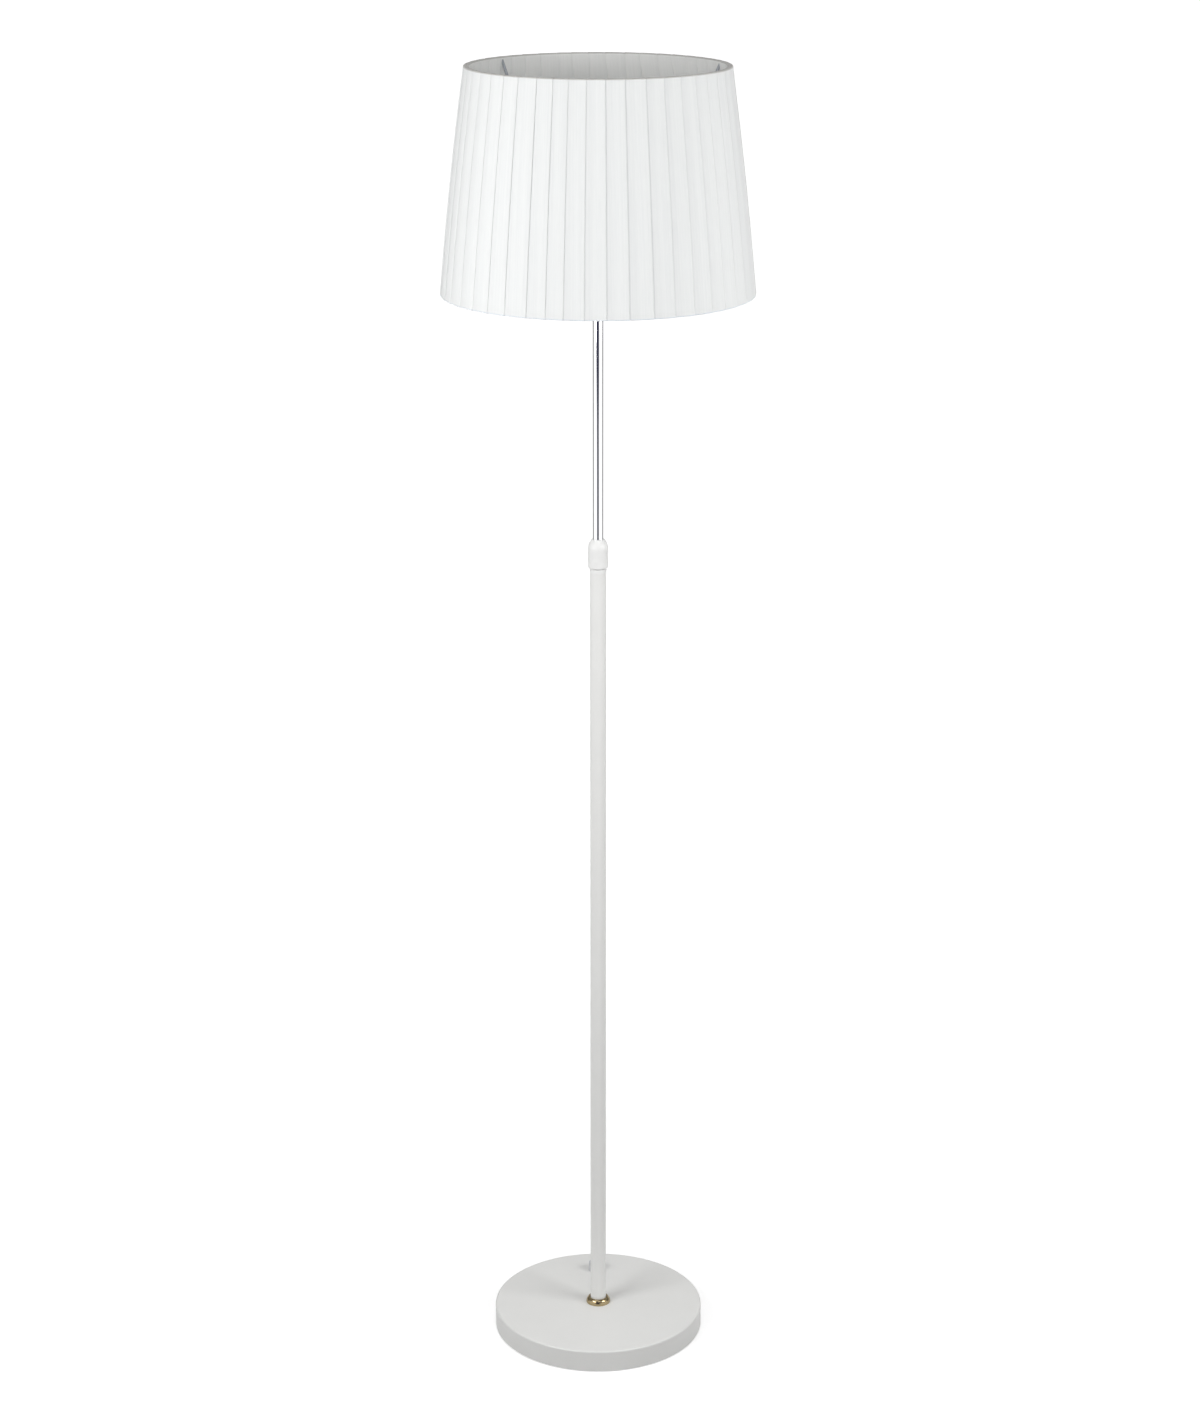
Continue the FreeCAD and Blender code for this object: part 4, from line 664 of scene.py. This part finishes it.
def studio_card(name, points, colour):
    """A card that only mirrors see: the polished mast and foot ring show it and nothing else does. It has
    its own light, so that no lamp changes it."""
    card = bpy.data.objects.new(name, grid_mesh(name, points))
    bpy.context.scene.collection.objects.link(card)
    paint = bpy.data.materials.new(name + "_paint")
    paint.use_nodes = True
    tree = paint.node_tree
    tree.nodes.clear()
    shine = add_node(tree, "ShaderNodeEmission", Color=(*colour, 1))
    tree.links.new(shine.outputs[0], add_node(tree, "ShaderNodeOutputMaterial").inputs["Surface"])
    card.data.materials.append(paint)
    card.visible_camera = card.visible_diffuse = card.visible_shadow = card.visible_transmission = False


card_height = np.array([0.0, 0.6, 0.7, 0.76, 0.81, 1.6, 1.8, 7.0])[:, None]
card_left = np.array([-0.88, -0.91, -1.03, -1.55, -1.75, -1.75, -1.0, -1.0])[:, None]
card_right = np.array([0.65, 0.63, 0.6, 0.75, 0.85, 0.85, 1.2, 1.2])[:, None]
card_across = card_left + (card_right - card_left) * np.linspace(0, 1, 9)[None, :]
card_points = np.stack([card_across, np.full(card_across.shape, -CARD_DISTANCE),
                        card_height + 0 * card_across], axis=-1)
studio_card("dark_card", card_points, (0.05, 0.05, 0.085))


def curved_card(name, start, end, low, high, grey):
    """A grey card bent round the lamp at 2.6 m, between two angles in degrees and two heights."""
    turn, height = np.meshgrid(np.radians(np.linspace(start, end, 24)), np.linspace(low, high, 5))
    points = np.stack([CARD_RADIUS * np.cos(turn), CARD_RADIUS * np.sin(turn), height], axis=-1)
    studio_card(name, points, (grey, grey, grey))


curved_card("right_edge_card", 8, 46, 0.0, 1.35, 0.2)
curved_card("left_edge_card", 125, 167, 0.0, 1.35, 0.2)
curved_card("grey_cove", 14, 166, 1.35, 7.0, 0.40)

camera = bpy.data.cameras.new("camera")
camera.sensor_width = 36
camera.lens = 78.88
viewer = bpy.data.objects.new("camera", camera)
bpy.context.scene.collection.objects.link(viewer)
viewer.location = (0.0024, -3.8187, 2.0812)
viewer.rotation_euler = (math.radians(90 - CAMERA_TILT), 0, 0)
bpy.context.scene.camera = viewer
bpy.context.scene.view_settings.view_transform = "Standard"
